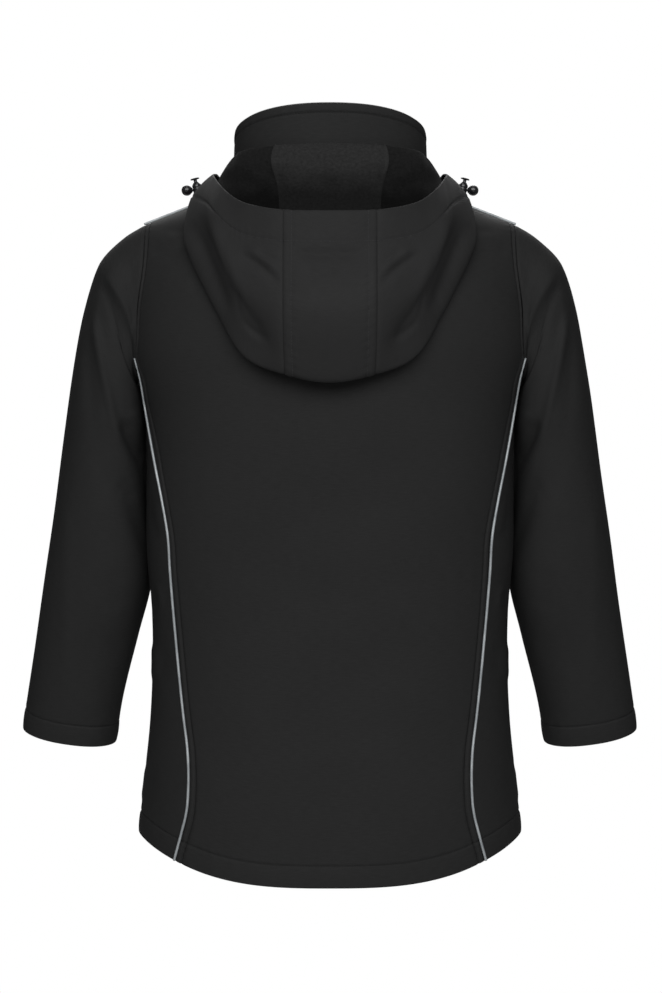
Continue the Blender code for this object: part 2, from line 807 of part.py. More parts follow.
def make_body():
    cloth_panel(
        "back_centre",
        lambda inset: back_centre(CENTRE_ACROSS, RISES, BACK_STEPS, inset),
        ("start", "end", "top"),
        CLOTH_FINISH,
    )
    for side, mirror in SIDES:
        cloth_panel(
            f"back_side_{side}",
            lambda inset: back_side(SIDE_ACROSS, RISES, inset),
            ("start", "end", "top"),
            CLOTH_FINISH,
            mirror,
        )
        cloth_panel(
            f"front_{side}",
            lambda inset: front(FRONT_ACROSS, RISES, FRONT_STEPS, inset),
            ("end", "top"),
            CLOTH_FINISH,
            mirror,
        )


def make_sleeves():
    steps = np.arange(ARM_STEPS)
    shares = np.linspace(0, 1, SLEEVE_RINGS)
    under = (1 - np.cos(2 * np.pi * steps / ARM_STEPS)) / 2
    start = points(np.full(ARM_STEPS, SEAM_GAP), 0, SEAM_GAP * under)
    for side, mirror in SIDES:
        outside = sleeve(shares, steps, 0)
        inside = sleeve(shares, steps, CLOTH)
        outside[0] += start
        inside[0] += start
        if mirror:
            outside = mirrored(outside)
            inside = mirrored(inside)
        wall(f"sleeve_{side}", outside, inside, CLOTH_FINISH, round_tube=True)


def make_collar():
    left = np.concatenate([FRONT_TURNS, np.pi - BACK_TURNS[-2::-1]])
    turns = np.concatenate([left, 2 * np.pi - left[-2::-1]])
    rises = np.linspace(0, 1, COLLAR_ROWS + 1)
    wall("collar", collar(turns, rises, 0), collar(turns, rises, COLLAR_CLOTH), CLOTH_FINISH)


def make_hood():
    last = len(HOOD_STATIONS) - 1
    stations = np.concatenate(
        [
            np.linspace(0, HOOD_SEAM_STATION, HOOD_CENTRE_COLUMNS + 1),
            np.linspace(HOOD_SEAM_STATION, last, HOOD_SIDE_COLUMNS + 1)[1:],
        ]
    )
    half = hood(stations, HOOD_ROWS)
    fleece = np.concatenate([mirrored(half[:, :0:-1]), half], axis=1)
    shell = fleece + grid_normals(fleece) * HOOD_CLOTH
    count = shell.shape[1]
    first = HOOD_SIDE_COLUMNS
    spans = (
        ("hood_side_right", 0, first + 1, ("end",)),
        ("hood_centre", first, count - first, ("start", "end")),
        ("hood_side_left", count - first - 1, count, ("start",)),
    )
    for name, start, end, edges in spans:
        wall(name, draw_in(shell[:, start:end], edges), draw_in(fleece[:, start:end], edges), HOOD_FINISH)


def make_piping():
    out = -(PIPING_RADIUS + SEAM_GAP)
    for side, mirror in SIDES:
        seam = back_centre([1], np.append(RISES[:-1], PIPING_END), [], out)[:, 0]
        shoulder = back_centre(HALF_ACROSS[-SHOULDER_COLUMNS:], [], [0], out)[0]
        if mirror:
            seam = mirrored(seam)
            shoulder = mirrored(shoulder)
        rod(f"piping_back_{side}", seam, PIPING_RADIUS, PIPING_FINISH)
        rod(f"piping_shoulder_{side}", shoulder, PIPING_RADIUS, PIPING_FINISH)


def zip_line(depth, x):
    """The middle front from the hem to the top of the collar, a depth under the outside."""
    low = front([0], RISES, FRONT_STEPS, depth)[:, 0]
    high = collar([COLLAR_END], np.linspace(0, 1, COLLAR_ROWS + 1), depth)[:, 0]
    line = np.concatenate([low[:-1], high])
    line[:, 0] = x
    return line


def make_zip():
    edges = (SEAM_GAP / 2, ZIP_HALF - SEAM_GAP)
    for side, mirror in SIDES:
        outside = np.stack([zip_line(TAPE_DEPTH, x) for x in edges], axis=1)
        inside = np.stack([zip_line(TAPE_DEPTH + TAPE_CLOTH, x) for x in edges], axis=1)
        if mirror:
            outside = mirrored(outside)
            inside = mirrored(inside)
        wall(f"zip_tape_{side}", outside, inside, CLOTH_FINISH)
    line = zip_line(TAPE_DEPTH, 0)
    upper = line[-COLLAR_ROWS - 1 :]
    ends = SLIDER_Z + np.array([-0.5, 0.5]) * SLIDER_HEIGHT
    face_y = np.interp(ends, upper[:, 2], upper[:, 1]).min()
    plate_y = face_y - SEAM_GAP - SLIDER_PLATE / 2
    plate = block(
        "zip_slider",
        (SLIDER_WIDTH, SLIDER_PLATE, SLIDER_HEIGHT),
        (0, plate_y, SLIDER_Z),
        PLASTIC_FINISH,
        SLIDER_EDGE / 2,
    )
    plate_front = plate_y - SLIDER_PLATE / 2
    pin_y = plate_front - PIN_STAND
    arch_top = pin_y - TAB_CLOTH / 2 - SEAM_GAP - ARCH_BAR / 2
    foot = abs(arch_top - plate_front) + ARCH_BAR
    for end in (-1, 1):
        leg = block(
            f"leg{end}",
            (ARCH_WIDTH, foot, ARCH_BAR),
            (0, plate_front + ARCH_BAR / 2 - foot / 2, SLIDER_Z + end * ARCH_HALF_SPAN),
        )
        combine(plate, leg, "UNION")
    bridge = block(
        "bridge", (ARCH_WIDTH, ARCH_BAR, 2 * ARCH_HALF_SPAN + ARCH_BAR), (0, arch_top, SLIDER_Z)
    )
    combine(plate, bridge, "UNION")
    tab = block(
        "zip_pull_tab",
        (TAB_WIDTH, TAB_CLOTH, TAB_LENGTH),
        (0, 0, TAB_CLOTH / 2 - TAB_LENGTH / 2),
        PLASTIC_FINISH,
        TAB_CLOTH / 4,
    )
    hole = block(
        "hole",
        (TAB_HOLE_WIDTH, 3 * TAB_CLOTH, TAB_HOLE_LENGTH),
        (0, 0, -TAB_CLOTH / 2 - TAB_HOLE_LENGTH / 2),
    )
    combine(tab, hole, "DIFFERENCE")
    tab.location = Vector((0, pin_y, SLIDER_Z)) * MM


def lock_frame(mirror):
    """Where a cord lock stands: its plunger's axis leans out at the top."""
    x, y, z = LOCK_PLACE
    lean = math.radians(LOCK_LEAN)
    sign = -1 if mirror else 1
    return Matrix.Translation(Vector((sign * x, y, z)) * MM) @ Matrix.Rotation(sign * lean, 4, "Y")


def round_cutter(name, radius, low, high):
    return turned(name, ((0, high), (radius, high), (radius, low), (0, low)), None)


def make_cord_lock(side, mirror):
    frame = lock_frame(mirror)
    lock = turned(f"cord_lock_{side}", LOCK_PROFILE, PLASTIC_FINISH)
    combine(lock, round_cutter("bore", LOCK_BORE_RADIUS, *LOCK_BORE), "DIFFERENCE")
    combine(lock, round_cutter("mouth", LOCK_MOUTH_RADIUS, 0, LOCK_CUT), "DIFFERENCE")
    cross = round_cutter("cross", LOCK_CROSS_RADIUS, -LOCK_CUT, LOCK_CUT)
    cross.matrix_world = Matrix.Rotation(math.radians(90 + LOCK_LEAN if mirror else 90 - LOCK_LEAN), 4, "Y")
    combine(lock, cross, "DIFFERENCE")
    lock.matrix_world = frame
    plunger = turned(f"cord_lock_plunger_{side}", PLUNGER_PROFILE, PLASTIC_FINISH)
    low, high = PLUNGER_SLOT
    slot = block("slot", (LOCK_CUT, PLUNGER_SLOT_WIDTH, high - low), (0, 0, (low + high) / 2))
    combine(plunger, slot, "DIFFERENCE")
    plunger.matrix_world = frame


def make_drawcord():
    for side, mirror in SIDES:
        sign = -1 if mirror else 1
        make_cord_lock(side, mirror)
        ball = turned(f"cord_end_{side}", ball_profile(), PLASTIC_FINISH)
        ball.location = Vector((sign * BALL_PLACE[0], BALL_PLACE[1], BALL_PLACE[2])) * MM
        eyelet = turned(f"eyelet_{side}", eyelet_profile(), PLASTIC_FINISH, closed=True)
        centre, normal = eyelet_seat()
        seat = centre + normal * EYELET_CLOTH / 2
        flip = np.array([sign, 1, 1])
        turn = Vector((0, 0, 1)).rotation_difference(Vector(normal * flip))
        eyelet.matrix_world = Matrix.Translation(Vector(seat * flip) * MM) @ turn.to_matrix().to_4x4()
        rod(f"hood_cord_{side}", cord_line() * flip, CORD_RADIUS, PLASTIC_FINISH, 2)


def ball_profile():
    turns = [math.pi * i / BALL_STEPS for i in range(BALL_STEPS + 1)]
    return [(BALL_RADIUS * math.sin(t), BALL_RADIUS * math.cos(t)) for t in turns]


def eyelet_profile():
    half = EYELET_CLOTH / 2
    soft = half / 2
    return (
        (EYELET_INNER, half - soft),
        (EYELET_INNER + soft, half),
        (EYELET_OUTER - soft, half),
        (EYELET_OUTER, -half),
        (EYELET_INNER, -half),
    )


def eyelet_seat():
    """Where the left eyelet sits on the hood's casing, and the way it faces."""
    grid = hood(EYELET_STATION + np.array([-0.1, 0, 0.1]), [20] * len(HOOD_ROWS))
    row = int(round(EYELET_RISE * (len(grid) - 1)))
    normal = grid_normals(grid)[row, 1]
    return grid[row, 1] + normal * (HOOD_CLOTH + EYELET_LIFT), normal


def cord_line():
    """The left cord's free end: straight out of the eyelet, through the lock and up to its ball."""
    start, normal = eyelet_seat()
    lock = np.array(LOCK_PLACE)
    through = np.array([1, 0, 0])
    end = np.array(BALL_PLACE) - through * (BALL_RADIUS + SEAM_GAP)
    marks = [start, start + normal * CORD_RISE]
    marks += [lock + through * way for way in CORD_THROUGH_LOCK]
    marks = np.array(marks + [end])
    keys = np.concatenate([[0], np.cumsum(np.linalg.norm(np.diff(marks, axis=0), axis=1))])
    at = np.linspace(0, keys[-1], CORD_POINTS)
    return np.stack([spline(keys, marks[:, i], at) for i in range(3)], axis=-1)


def main():
    clear_scene()
    make_body()
    make_sleeves()
    make_collar()
    make_hood()
    make_piping()
    make_zip()
    make_drawcord()


main()
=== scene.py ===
"""The looks of a hooded softshell jacket, filled out as worn, with its hood lying down the back.

Each cut piece of cloth is a thin shell on its solid's form, with its folds, seams, hems and stitching, and
the fittings are finer copies of their solids. Lengths are in millimetres until a mesh is made. +Z is up, the
back faces +Y and the wearer's left is +X.
"""

import math

import bmesh
import bpy
import numpy as np
from mathutils import Matrix, Vector


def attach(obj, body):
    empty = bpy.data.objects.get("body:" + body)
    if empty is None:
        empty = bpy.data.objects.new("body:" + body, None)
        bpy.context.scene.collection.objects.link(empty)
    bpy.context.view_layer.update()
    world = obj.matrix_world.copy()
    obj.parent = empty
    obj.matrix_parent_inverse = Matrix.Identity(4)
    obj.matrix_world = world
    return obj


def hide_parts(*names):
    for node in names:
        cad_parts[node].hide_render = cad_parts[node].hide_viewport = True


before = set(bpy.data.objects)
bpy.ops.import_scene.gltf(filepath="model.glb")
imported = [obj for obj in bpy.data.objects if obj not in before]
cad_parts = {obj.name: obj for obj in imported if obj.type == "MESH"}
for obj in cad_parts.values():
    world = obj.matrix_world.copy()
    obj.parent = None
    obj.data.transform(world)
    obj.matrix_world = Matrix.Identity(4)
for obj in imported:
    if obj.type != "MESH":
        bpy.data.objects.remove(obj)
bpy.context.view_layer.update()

MM = 0.001
SIDES = (("left", False), ("right", True))  # name, whether it is the mirrored one

# Camera and stage, in metres
CAMERA_PLACE = (0, 4.0, -0.349)
CAMERA_LENS = 126.1
CAMERA_SHIFT = 0.001
FLOOR_Z = -1.38
FLOOR_RADIUS = 1.6
FLOOR_SIDES = 96
FLOOR_COLOUR = (0.8, 0.8, 0.8)
WORLD_LIGHT = 0.13
LIGHT_TARGET = (0, 0, -0.3)
LIGHTS = (  # name, place, width, height, power
    ("back", (0.0, 2.35, 1.0), 4.0, 1.8, 88),
    ("low", (0.0, 2.2, -1.2), 2.4, 0.8, 6),
    ("front", (0.0, -2.8, 2.3), 4.0, 2.4, 115),
    ("top", (0.0, 0.5, 3.0), 1.8, 1.8, 12),
)

# Cloth and seams, as in the solids
CLOTH = 1.8
COLLAR_CLOTH = 4.0
HOOD_CLOTH = 2.2
SEAM_GAP = 0.3
PIPING_RADIUS = 1.5

# Torso sections, as in the solids
SECTION_POWER = 2.3
TORSO = (  # height, half width, back depth, front depth
    (-800, 221, 131, 126),
    (-735, 220, 128, 124),
    (-680, 214.5, 124, 121),
    (-606, 206.5, 119, 117),
    (-532, 204, 116, 115),
    (-477, 204.5, 116, 116),
    (-417, 209, 119, 119),
    (-366, 211, 122, 123),
    (-279, 211, 127, 127),
    (-243, 214, 128, 127),
    (-218, 220.5, 128, 125),
    (-191, 228, 128, 122),
    (-130, 232, 127, 117),
    (-34, 233, 126, 112),
)
SIDE_HEM_Z = -732
BACK_HEM_DROP = 52.6
FRONT_HEM_DROP = 8
HEM_CURVE_POWER = 3
HEM_ROUNDS = 3

# Neckline and shoulders
NECK_HALF = 113
NECK_BACK = 72
NECK_FRONT = 80
NECK_POWER = 2.2
NECK_SIDE_Z = 2
NECK_BACK_Z = 18
NECK_FRONT_Z = -62
NECK_CURVE_POWER = 2.0
SHOULDER_X = 212.7
SHOULDER_Z = -37
SHOULDER_RISE_POWER = 2.0
ROUND_AT_NECK = 1.1
ROUND_AT_SHOULDER = 2.0

# Armholes, in equal steps of a turn that starts at the shoulder and goes round by the back
ARM_STEPS = 32
JOIN_STEP = 12
UNDERARM_STEP = 16
FRONT_JOIN_STEP = 20
UNDERARM_Z = -218
ARMHOLE_BACK = ((-191, 222), (-178, 221), (-136, 219.5), (-82, 213.5), (-37, 212.7))  # height, half width
ARMHOLE_FRONT = ((-191, 214), (-136, 206), (-82, 204), (-37, 212.7))  # height, half width

# Back princess seams: height, half width
PRINCESS = (
    (-790, 182),
    (-758, 174.5),
    (-730, 167),
    (-703, 160.5),
    (-676, 158.5),
    (-636, 159.5),
    (-596, 164.5),
    (-515, 173),
    (-434, 180),
    (-394, 182.5),
    (-353, 189.5),
    (-312, 198),
    (-271, 206),
    (-244, 211),
    (-216, 215.5),
    (-191, 222),
)

# Sleeve sections after the armhole, each a slanting oval
SLEEVE = (  # outer x, outer z, inner x, inner z, middle y, half depth, drop of the back edge
    (236, -51, 222.4, -219.5, -2, 46, 0),
    (259, -72, 220.6, -225, -4.5, 51.5, 0),
    (271, -93, 218.0, -232, -7.5, 54.5, 0),
    (282, -128, 214.9, -244, -13.5, 55.5, 0.02),
    (290, -165, 212.9, -259, -17.5, 58.5, 0.04),
    (299.5, -220, 211.6, -285, -23, 62, 0.08),
    (307.5, -275, 211, -320, -28, 60, 0.10),
    (317.5, -349, 210, -374, -32, 57, 0.14),
    (328.5, -423, 206, -440, -38, 54, 0.18),
    (339.5, -497, 222, -508, -48, 48, 0.22),
    (351, -572, 241, -584, -60, 42, 0.26),
    (358, -618, 249.5, -633, -68, 37.5, 0.30),
)
SLEEVE_POWER = 2.15
FOLD_FADE = 0.08
SLEEVE_FOLDS = (  # from: ring share, turn share; to: ring share, turn share; half width, push out
    (0.19, 0.08, 0.04, 0.33, 0.042, 4.2),
    (0.31, 0.12, 0.14, 0.41, 0.072, -7.5),
    (0.29, 0.12, 0.57, 0.335, 0.024, 2.4),
    (0.36, 0.10, 0.58, 0.24, 0.034, -2.6),
    (0.48, 0.29, 0.575, 0.46, 0.030, -6.5),
    (0.62, 0.32, 0.72, 0.46, 0.026, -3.0),
    (0.62, 0.60, 0.74, 0.48, 0.026, -3.5),
    (0.20, 0.92, 0.38, 0.66, 0.030, -3.5),
)

# Collar
COLLAR_TOP_HALF = 110
COLLAR_TOP_BACK = 71
COLLAR_TOP_FRONT = 80
COLLAR_TOP_SIDE_Z = 65
COLLAR_TOP_BACK_RISE = 0.42
COLLAR_TOP_FRONT_FALL = 0.60
COLLAR_LIFT = 0.4

# Hood, at stations from the middle of the back round to its front end
HOOD_STATIONS = (  # turn round the neck, reach of the fold, share of the way past it, hollow under it
    (0, 9, 0.08, 10),
    (27, 9, 0.08, 9),
    (50, 8, 0.08, 7),
    (65, 6.5, 0.08, 5.5),
    (78, 6, 0.08, 4),
    (90, 6, 0.08, 2.5),
    (105, 7, 0.08, 1),
    (121, 7, 0.08, 0),
    (141, 4, 0.20, 0),
    (163, 0, 0.45, 0),
)
HOOD_HOLLOW_SHARE = 0.30
HOOD_FOLD = (  # x, y, z
    (0, 84, 49),
    (62, 77, 47),
    (96, 57, 44),
    (108, 39, 39),
    (116, 21, 31),
    (120, 1, 22),
    (120, -22, 10),
    (111, -48, -9),
    (85, -73, -30),
    (39.3, -83, -46),
)
HOOD_INNER = (  # x, y, z
    (0, 122, -75),
    (56, 118, -72),
    (98, 110, -62),
    (121, 90, -45),
    (138, 68, -26),
    (143, 36, -5),
    (139, -6, 4),
    (124, -46, -16),
    (94, -80, -34),
    (40.2, -86.5, -41.5),
)
HOOD_BOTTOM = (  # x, y, z
    (0, 152, -221),
    (50, 149, -212),
    (94, 136, -192),
    (124, 118, -143),
    (154, 93, -84),
    (163, 68, -50),
    (156, 12, -6.5),
    (142, -48, -19),
    (102, -86, -40),
    (41, -89.5, -38.5),
)
HOOD_VALLEY = (  # x, y, z
    (0, 166, -194),
    (51, 162, -188),
    (78, 149, -166),
    (103, 141, -134),
    (129, 120, -76),
    (149, 72, -30),
    (149.5, 16, 2),
    (140.5, -45.5, -12.5),
    (103.5, -88, -37.6),
    (41.3, -90.7, -37),
)
HOOD_OUTER = (  # x, y, z
    (0, 177.5, -143),
    (52, 172.5, -138),
    (92, 155, -122),
    (113, 139, -86),
    (131, 115, -47),
    (140, 72, -16),
    (142.5, 17, 9.5),
    (139.2, -43.1, -5.8),
    (105.5, -89.8, -35.1),
    (41.6, -91.7, -35.5),
)
HOOD_RIM = (  # x, y, z
    (0, 148, -33),
    (52, 146, -32),
    (84, 130, -26),
    (103, 112, -18),
    (119, 86, -4),
    (129, 52, 10),
    (133, 14, 18.5),
    (126.5, -28, 17),
    (106, -91, -30),
    (42.2, -94, -31.5),
)
HOOD_PART_SHARE = (0.30, 0.30, 0.62)
HOOD_NECK_GAP = 1.3
HOOD_NECK_LIFT = 5.2
HOOD_SEAM_STATION = 1

# Piping, pinched where the princess seam meets the armhole and thinner just below
PIPING_SINK = 0.8
PIPING_PINCH_Z = -206
PIPING_PINCH = 0.55
PIPING_TAPER = 0.28
PIPING_TAPER_Z = (-275, -190)
PIPING_PINCH_REACH = 1.8
PIPING_POINTS = 160
PIPING_SIDES = 14
SHOULDER_START = 0.62
SHOULDER_POINTS = 40

# Zip
ZIP_HALF = 7
TAPE_DEPTH = 0.4
TAPE_RISES = 14
TAPE_COLLAR_ROWS = 4
TOOTH_PITCH = 2.6
TOOTH_SIDES = 6
TOOTH_RINGS = ((-0.6, 0.35, 0.2), (-0.2, 0.6, 0.3), (2.1, 0.6, 0.3), (2.6, 0.4, 0.2))  # x, radius, lift
TOOTH_PARTED = 0.8
SLIDER_Z = 8
SLIDER_HEIGHT = 13
SLIDER_PLATE = 2.2
SLIDER_OUTLINE = ((3.0, 6.5), (4.5, 4.6), (4.5, 0.8), (3.5, -5.6), (2.6, -6.5))  # x, height
SLIDER_EDGE = 0.5
ARCH_WIDTH = 2.2
ARCH_BAR = 1.4
ARCH_HALF_SPAN = 3.9
ARCH_EDGE = 0.3
TAB_OUTLINE = (  # x, height
    (1.6, 0.7),
    (2.8, 0.2),
    (3.2, -0.8),
    (3.2, -7.2),
    (2.5, -9.6),
    (2.5, -11.6),
    (3.2, -14.4),
    (3.2, -24.2),
    (2.6, -25.7),
    (1.4, -26.3),
)
TAB_THICKNESS = 1.4
TAB_EDGE = 0.35
TAB_HOLE = (3.4, 4.2, 5.4)
TAB_HOLE_Z = -3.4
TAB_HOLE_EDGE = 0.8
TAB_RIB = (4.4, 1.7, 0.9)
TAB_RIBS = (-16.2, -18.4, -20.6, -22.8)  # height
PIN_STAND = 2.3

# Drawcord and its fittings
CORD_RADIUS = 1.5
CORD_RISE = 4
CORD_THROUGH_LOCK = (-10, -6, 5.5)
CORD_INTO_BALL = 1.5
CORD_POINTS = 36
CORD_SIDES = 16
BRAID_STRANDS = 3
BRAID_TWIST = 2.2
BRAID_DEPTH = 0.05
LOCK_PLACE = (153.8, -45, 7)
LOCK_LEAN = 14
LOCK_PROFILE = (  # radius, height
    (0, 9.5),
    (2.95, 9.5),
    (5.2, 6.4),
    (5.3, 5.2),
    (5.3, 4.0),
    (5.0, 3.7),
    (5.0, 3.3),
    (5.3, 3.0),
    (5.3, -4.2),
    (5.0, -4.5),
    (5.0, -4.9),
    (5.3, -5.2),
    (5.3, -7.6),
    (4.2, -9),
    (0, -9),
)
LOCK_CORNER = 0.45
LOCK_BORE = ((0, 6.5), (3.5, 6.5), (3.5, -7.5), (0, -7.5))  # radius, height
LOCK_MOUTH = ((0, 12), (2.4, 12), (2.4, 0), (0, 0))  # radius, height
LOCK_CROSS = ((0, 12), (2.0, 12), (2.0, -12), (0, -12))  # radius, height
PLUNGER_PROFILE = (  # radius, height
    (0, 14.3),
    (2.6, 14.3),
    (3.6, 14.6),
    (4.5, 14.6),
    (5.3, 13.9),
    (5.3, 13.3),
    (4.6, 12.9),
    (2.0, 12.9),
    (2.0, 6.2),
    (3.1, 6.2),
    (3.1, -4.6),
    (0, -4.6),
)
PLUNGER_CORNER = 0.3
PLUNGER_SLOT = (12, 3.6, 7.6)
PLUNGER_SLOT_Z = 1.2
BALL_RADIUS = 6.3
BALL_PLACE = (166.4, -45, 7)
BALL_NECK_ROOT = 3.2
BALL_NECK = ((3.0, -5.9), (2.8, -6.2), (2.5, -6.4), (1.9, -6.4))  # radius, height
BALL_MOUTH_DEPTH = 1.6
BALL_GROOVE = 0.12
BALL_GROOVE_REACH = 0.06
EYELET_STATION = 7.3
EYELET_RISE = 0.922
EYELET_LIFT = -0.2
EYELET_INNER = 2.3
EYELET_OUTER = 4.0
EYELET_THICKNESS = 1.2
EYELET_CORNER = 0.4
SEAT_STEP = 0.1
SEAT_ROWS = 20
ROUND_SIDES = 40
BALL_STEPS = 24
CORNER_STEPS = 4
CORNER_SHARE = 0.45
BEVEL_STEPS = 3
ROUND_PROFILE = 0.5
MERGE_DISTANCE = 1e-4
LEVEL = 1e-6
HARD_SHARP = 35

# Sewing
HEM_DEPTH = 24
CUFF_DEPTH = 24
CASING_DEPTH = 36
COLLAR_STITCH = 10
PRINCESS_STITCH = 8.5
PRINCESS_DIP = 1.8
# Below the armhole the princess stitching stands further off: by how much, at what height, over what reach
PRINCESS_OFF = 5.0
PRINCESS_OFF_Z = -262
PRINCESS_OFF_REACH = 62
# It goes over to the armhole's stitching between these, from the height where the two seams join
PRINCESS_CHANGE = (-30, 5)
ARMHOLE_STITCH = 5.5
HOOD_STITCH = 10
ZIP_STITCH = 7
SEAM_DIP = 1.1
SEAM_WIDTH = 2.0
EDGE_DIP = 0.6
HOOD_SEAM_DIP = 0.9
STITCH_DIP = 0.9
STITCH_WIDTH = 1.5
HEM_PUFF = 0.8
HEM_THICKER = 1.4
CASING_PUFF = 0.7
CASING_THICKER = 0.8
COLLAR_PUFF = 0.5
HOOD_PUFF = 0.3
SEAM_PUFF = 0.45
PUFF_POWER = 0.7
TURN_REACH = 1
PUCKER = 0.22
PUCKER_PITCH = 11
PUCKER_REACH = 8
PUCKER_DRIFT = ((1.7, 31), (0.9, 13))  # by how much, over what length
STITCH_PITCH = 3.4
STITCH_LENGTH = 2.7
STITCH_RADIUS = 0.3
STITCH_SIDES = 5
STITCH_RINGS = (  # share of the length, share of the radius, share of the radius up
    (-0.5, 0.5, -0.9),
    (-0.24, 1.0, 0.25),
    (0.24, 1.0, 0.25),
    (0.5, 0.5, -0.9),
)
FINE_STEP = 0.7
EDGE_ROUND = 0.25
THICK_EDGE_ROUND = 0.4
NEARBY = 0.5
NEARLY_ALONG = 0.2

# Folds, in the plane of the back: from x, z to x, z, bow, half width, push out, share of it on the right
BACK_FOLDS = (
    (205, -72, 160, -71, 1.5, 4.0, -1.7, 0.8),
    (200, -60, 168, -56, -1.0, 8.0, 0.8, 1.0),
    (186, -46, 160, -48, 1.0, 4.0, -0.8, 0.7),
    (196, -100, 150, -112, 4.0, 16.0, 0.7, 0.8),
    (150, -250, 60, -236, 8.0, 30.0, -0.8, 0.9),
    (190, -300, 120, -420, -10.0, 34.0, 0.7, 1.1),
    (140, -430, -120, -446, 6.0, 26.0, -0.9, 1.0),
    (110, -540, -60, -528, -6.0, 30.0, 0.8, 1.0),
    (150, -650, 90, -600, 6.0, 24.0, -0.7, 0.8),
)
SIDE_FOLDS = (
    (198, -448, 193, -480, -4.0, 3.5, 1.3, 0.9),
    (205, -452, 201, -486, -4.0, 4.0, -1.0, 0.9),
    (203, -515, 202, -562, -2.0, 6.0, 2.0, 1.0),
    (193, -512, 190, -560, -2.0, 8.0, -1.0, 0.9),
    (214, -655, 217, -700, 2.0, 6.0, 2.0, 1.0),
    (203, -650, 206, -706, 2.0, 9.0, -1.2, 0.9),
    (205, -344, 194, -400, 3.0, 7.0, -1.3, 0.8),
    (196, -350, 188, -392, 3.0, 6.0, 1.0, 0.8),
)
SLEEVE_BACK_FOLDS = (
    (262, -90, 220, -184, -8.5, 4.0, 1.6, 1.0),
    (271, -97, 229, -191, -8.5, 7.5, -2.4, 1.0),
    (276, -106, 235, -302, 3.0, 5.0, 1.9, 1.0),
    (271, -158, 254, -268, 3.0, 11.0, -1.0, 0.9),
    (238, -258, 206, -312, 0.0, 8.0, -2.6, 1.0),
    (230, -250, 210, -276, -2.0, 7.0, 1.6, 0.9),
    (228, -88, 214, -74, 0.0, 2.2, 1.0, 0.8),
    (231, -96, 216, -80, 0.0, 3.0, -0.8, 0.8),
    (301, -320, 303, -612, 2.0, 9.0, 1.1, 1.0),
    (284, -300, 300, -470, -6.0, 16.0, -0.9, 1.0),
    (250, -430, 236, -480, 6.0, 14.0, -1.6, 0.9),
    (238, -505, 250, -540, 3.0, 12.0, -1.4, 0.8),
    (272, -540, 262, -600, 4.0, 10.0, 0.8, 0.9),
    (240, -330, 222, -352, 2.0, 7.0, -1.6, 0.8),
)
SLEEVE_FRONT_FOLDS = (
    (266, -100, 222, -196, -8.0, 6.0, 2.0, 0.9),
    (278, -116, 232, -206, -8.0, 10.0, -2.4, 1.0),
    (280, -180, 246, -300, 4.0, 7.0, 1.6, 1.0),
    (252, -286, 214, -318, -3.0, 8.0, -3.4, 0.9),
    (258, -312, 220, -346, -3.0, 7.0, 1.8, 1.0),
    (260, -340, 224, -372, -3.0, 8.0, -2.6, 0.8),
    (300, -360, 312, -600, 3.0, 12.0, 1.0, 1.0),
    (252, -450, 240, -520, 5.0, 13.0, -1.5, 0.9),
)
FRONT_FOLDS = (
    (196, -150, 120, -196, 8.0, 10.0, -1.8, 0.9),
    (200, -172, 130, -222, 8.0, 8.0, 1.4, 1.0),
    (190, -236, 120, -270, 6.0, 14.0, -1.4, 0.8),
    (150, -330, 60, -350, 8.0, 24.0, 1.0, 1.0),
    (190, -430, 110, -452, 5.0, 14.0, -1.4, 0.9),
    (196, -462, 130, -470, -4.0, 12.0, 1.2, 1.1),
    (120, -560, 30, -540, 6.0, 26.0, -1.0, 0.9),
    (196, -640, 150, -560, 6.0, 16.0, 1.0, 0.9),
    (60, -110, 26, -210, 4.0, 14.0, 0.8, 1.0),
)
HOOD_FOLDS = (
    (46, -80, -46, -80, 1.0, 6.5, -3.2, 1.0),
    (44, -95, -44, -95, 2.0, 8.0, 0.7, 1.0),
    (104, -78, 52, -122, -5.0, 5.0, -2.6, 0.9),
    (96, -72, 56, -106, -5.0, 6.0, 1.6, 0.9),
    (82, -76, 52, -92, 1.0, 3.5, -1.8, 0.9),
    (80, -88, 55, -88, 3.0, 5.0, 1.0, 0.8),
    (100, -150, 68, -175, 3.0, 4.0, -1.4, 1.0),
    (98, -158, 70, -184, 3.0, 4.5, 0.6, 0.9),
    (104, -119, 99, -153, 0.0, 3.0, -0.9, 0.8),
    (157, -34, 110, -154, 0.0, 8.5, -4.6, 1.0),
    (120, -60, 96, -130, 4.0, 10.0, 0.8, 0.9),
    (40, -128, 8, -150, 4.0, 12.0, 0.6, 0.5),
)
FLEECE_FOLDS = (
    (48, 30, -48, 30, 2.0, 5.0, 1.2, 1.0),
    (50, 16, -50, 16, 2.0, 7.0, -1.2, 1.0),
    (98, 26, 66, 8, 3.0, 6.0, -1.6, 0.9),
    (104, 12, 70, -6, 3.0, 6.0, 1.4, 0.9),
)

# How folds lie on the cloth
SWAY_WAVES = (  # share, then two waves that are multiplied, each by x, y, z and start
    (1.0, (2.1, 0, 0.7, 0.4), (0, -0.5, 1.3, 1.1)),
    (0.6, (1.7, 0, 3.1, 2.0), (2.3, -0.8, 0, 0)),
)
BODY_SWAY = (0.7, 95)  # depth, pitch
SLEEVE_SWAY = (0.6, 80)
COLLAR_SWAY = (0.5, 60)
FOLD_ENDS = 0.55
SIDE_FADE = 40
SLEEVE_FADE = 14
HOOD_FADE = 12
FACING = (-0.1, 0.45)  # where a fold starts to show as the cloth turns to face it, and where it is full
SIDE_FACING = (-0.4, 0.1)
HOOD_FACING = (0.1, 0.5)
PRESS = 1.4
PRESS_Z = -238
PRESS_REACH = 26
PRESS_FACING = (0.5, 0.9)

# Cloth looks
# Painted shade on the hood's fleece: paler near its neck edge, and dark deeper in the hood where it lies in
# shade
HOOD_PAINTED_SHADE_RAMP = (0.066, 0.104, 2.6)  # where it starts to end and ends, in metres; how much paler
SIDE_PAINTED_SHADE_RAMP = (0.076, 0.110, 2.8)
PAINTED_SHADE_UNEVEN = 0.03
FLEECE_SHEEN = 0.022
SHEEN_ROUGHNESS = 0.5
NOISE_LOW = 0.3
NOISE_HIGH = 0.7

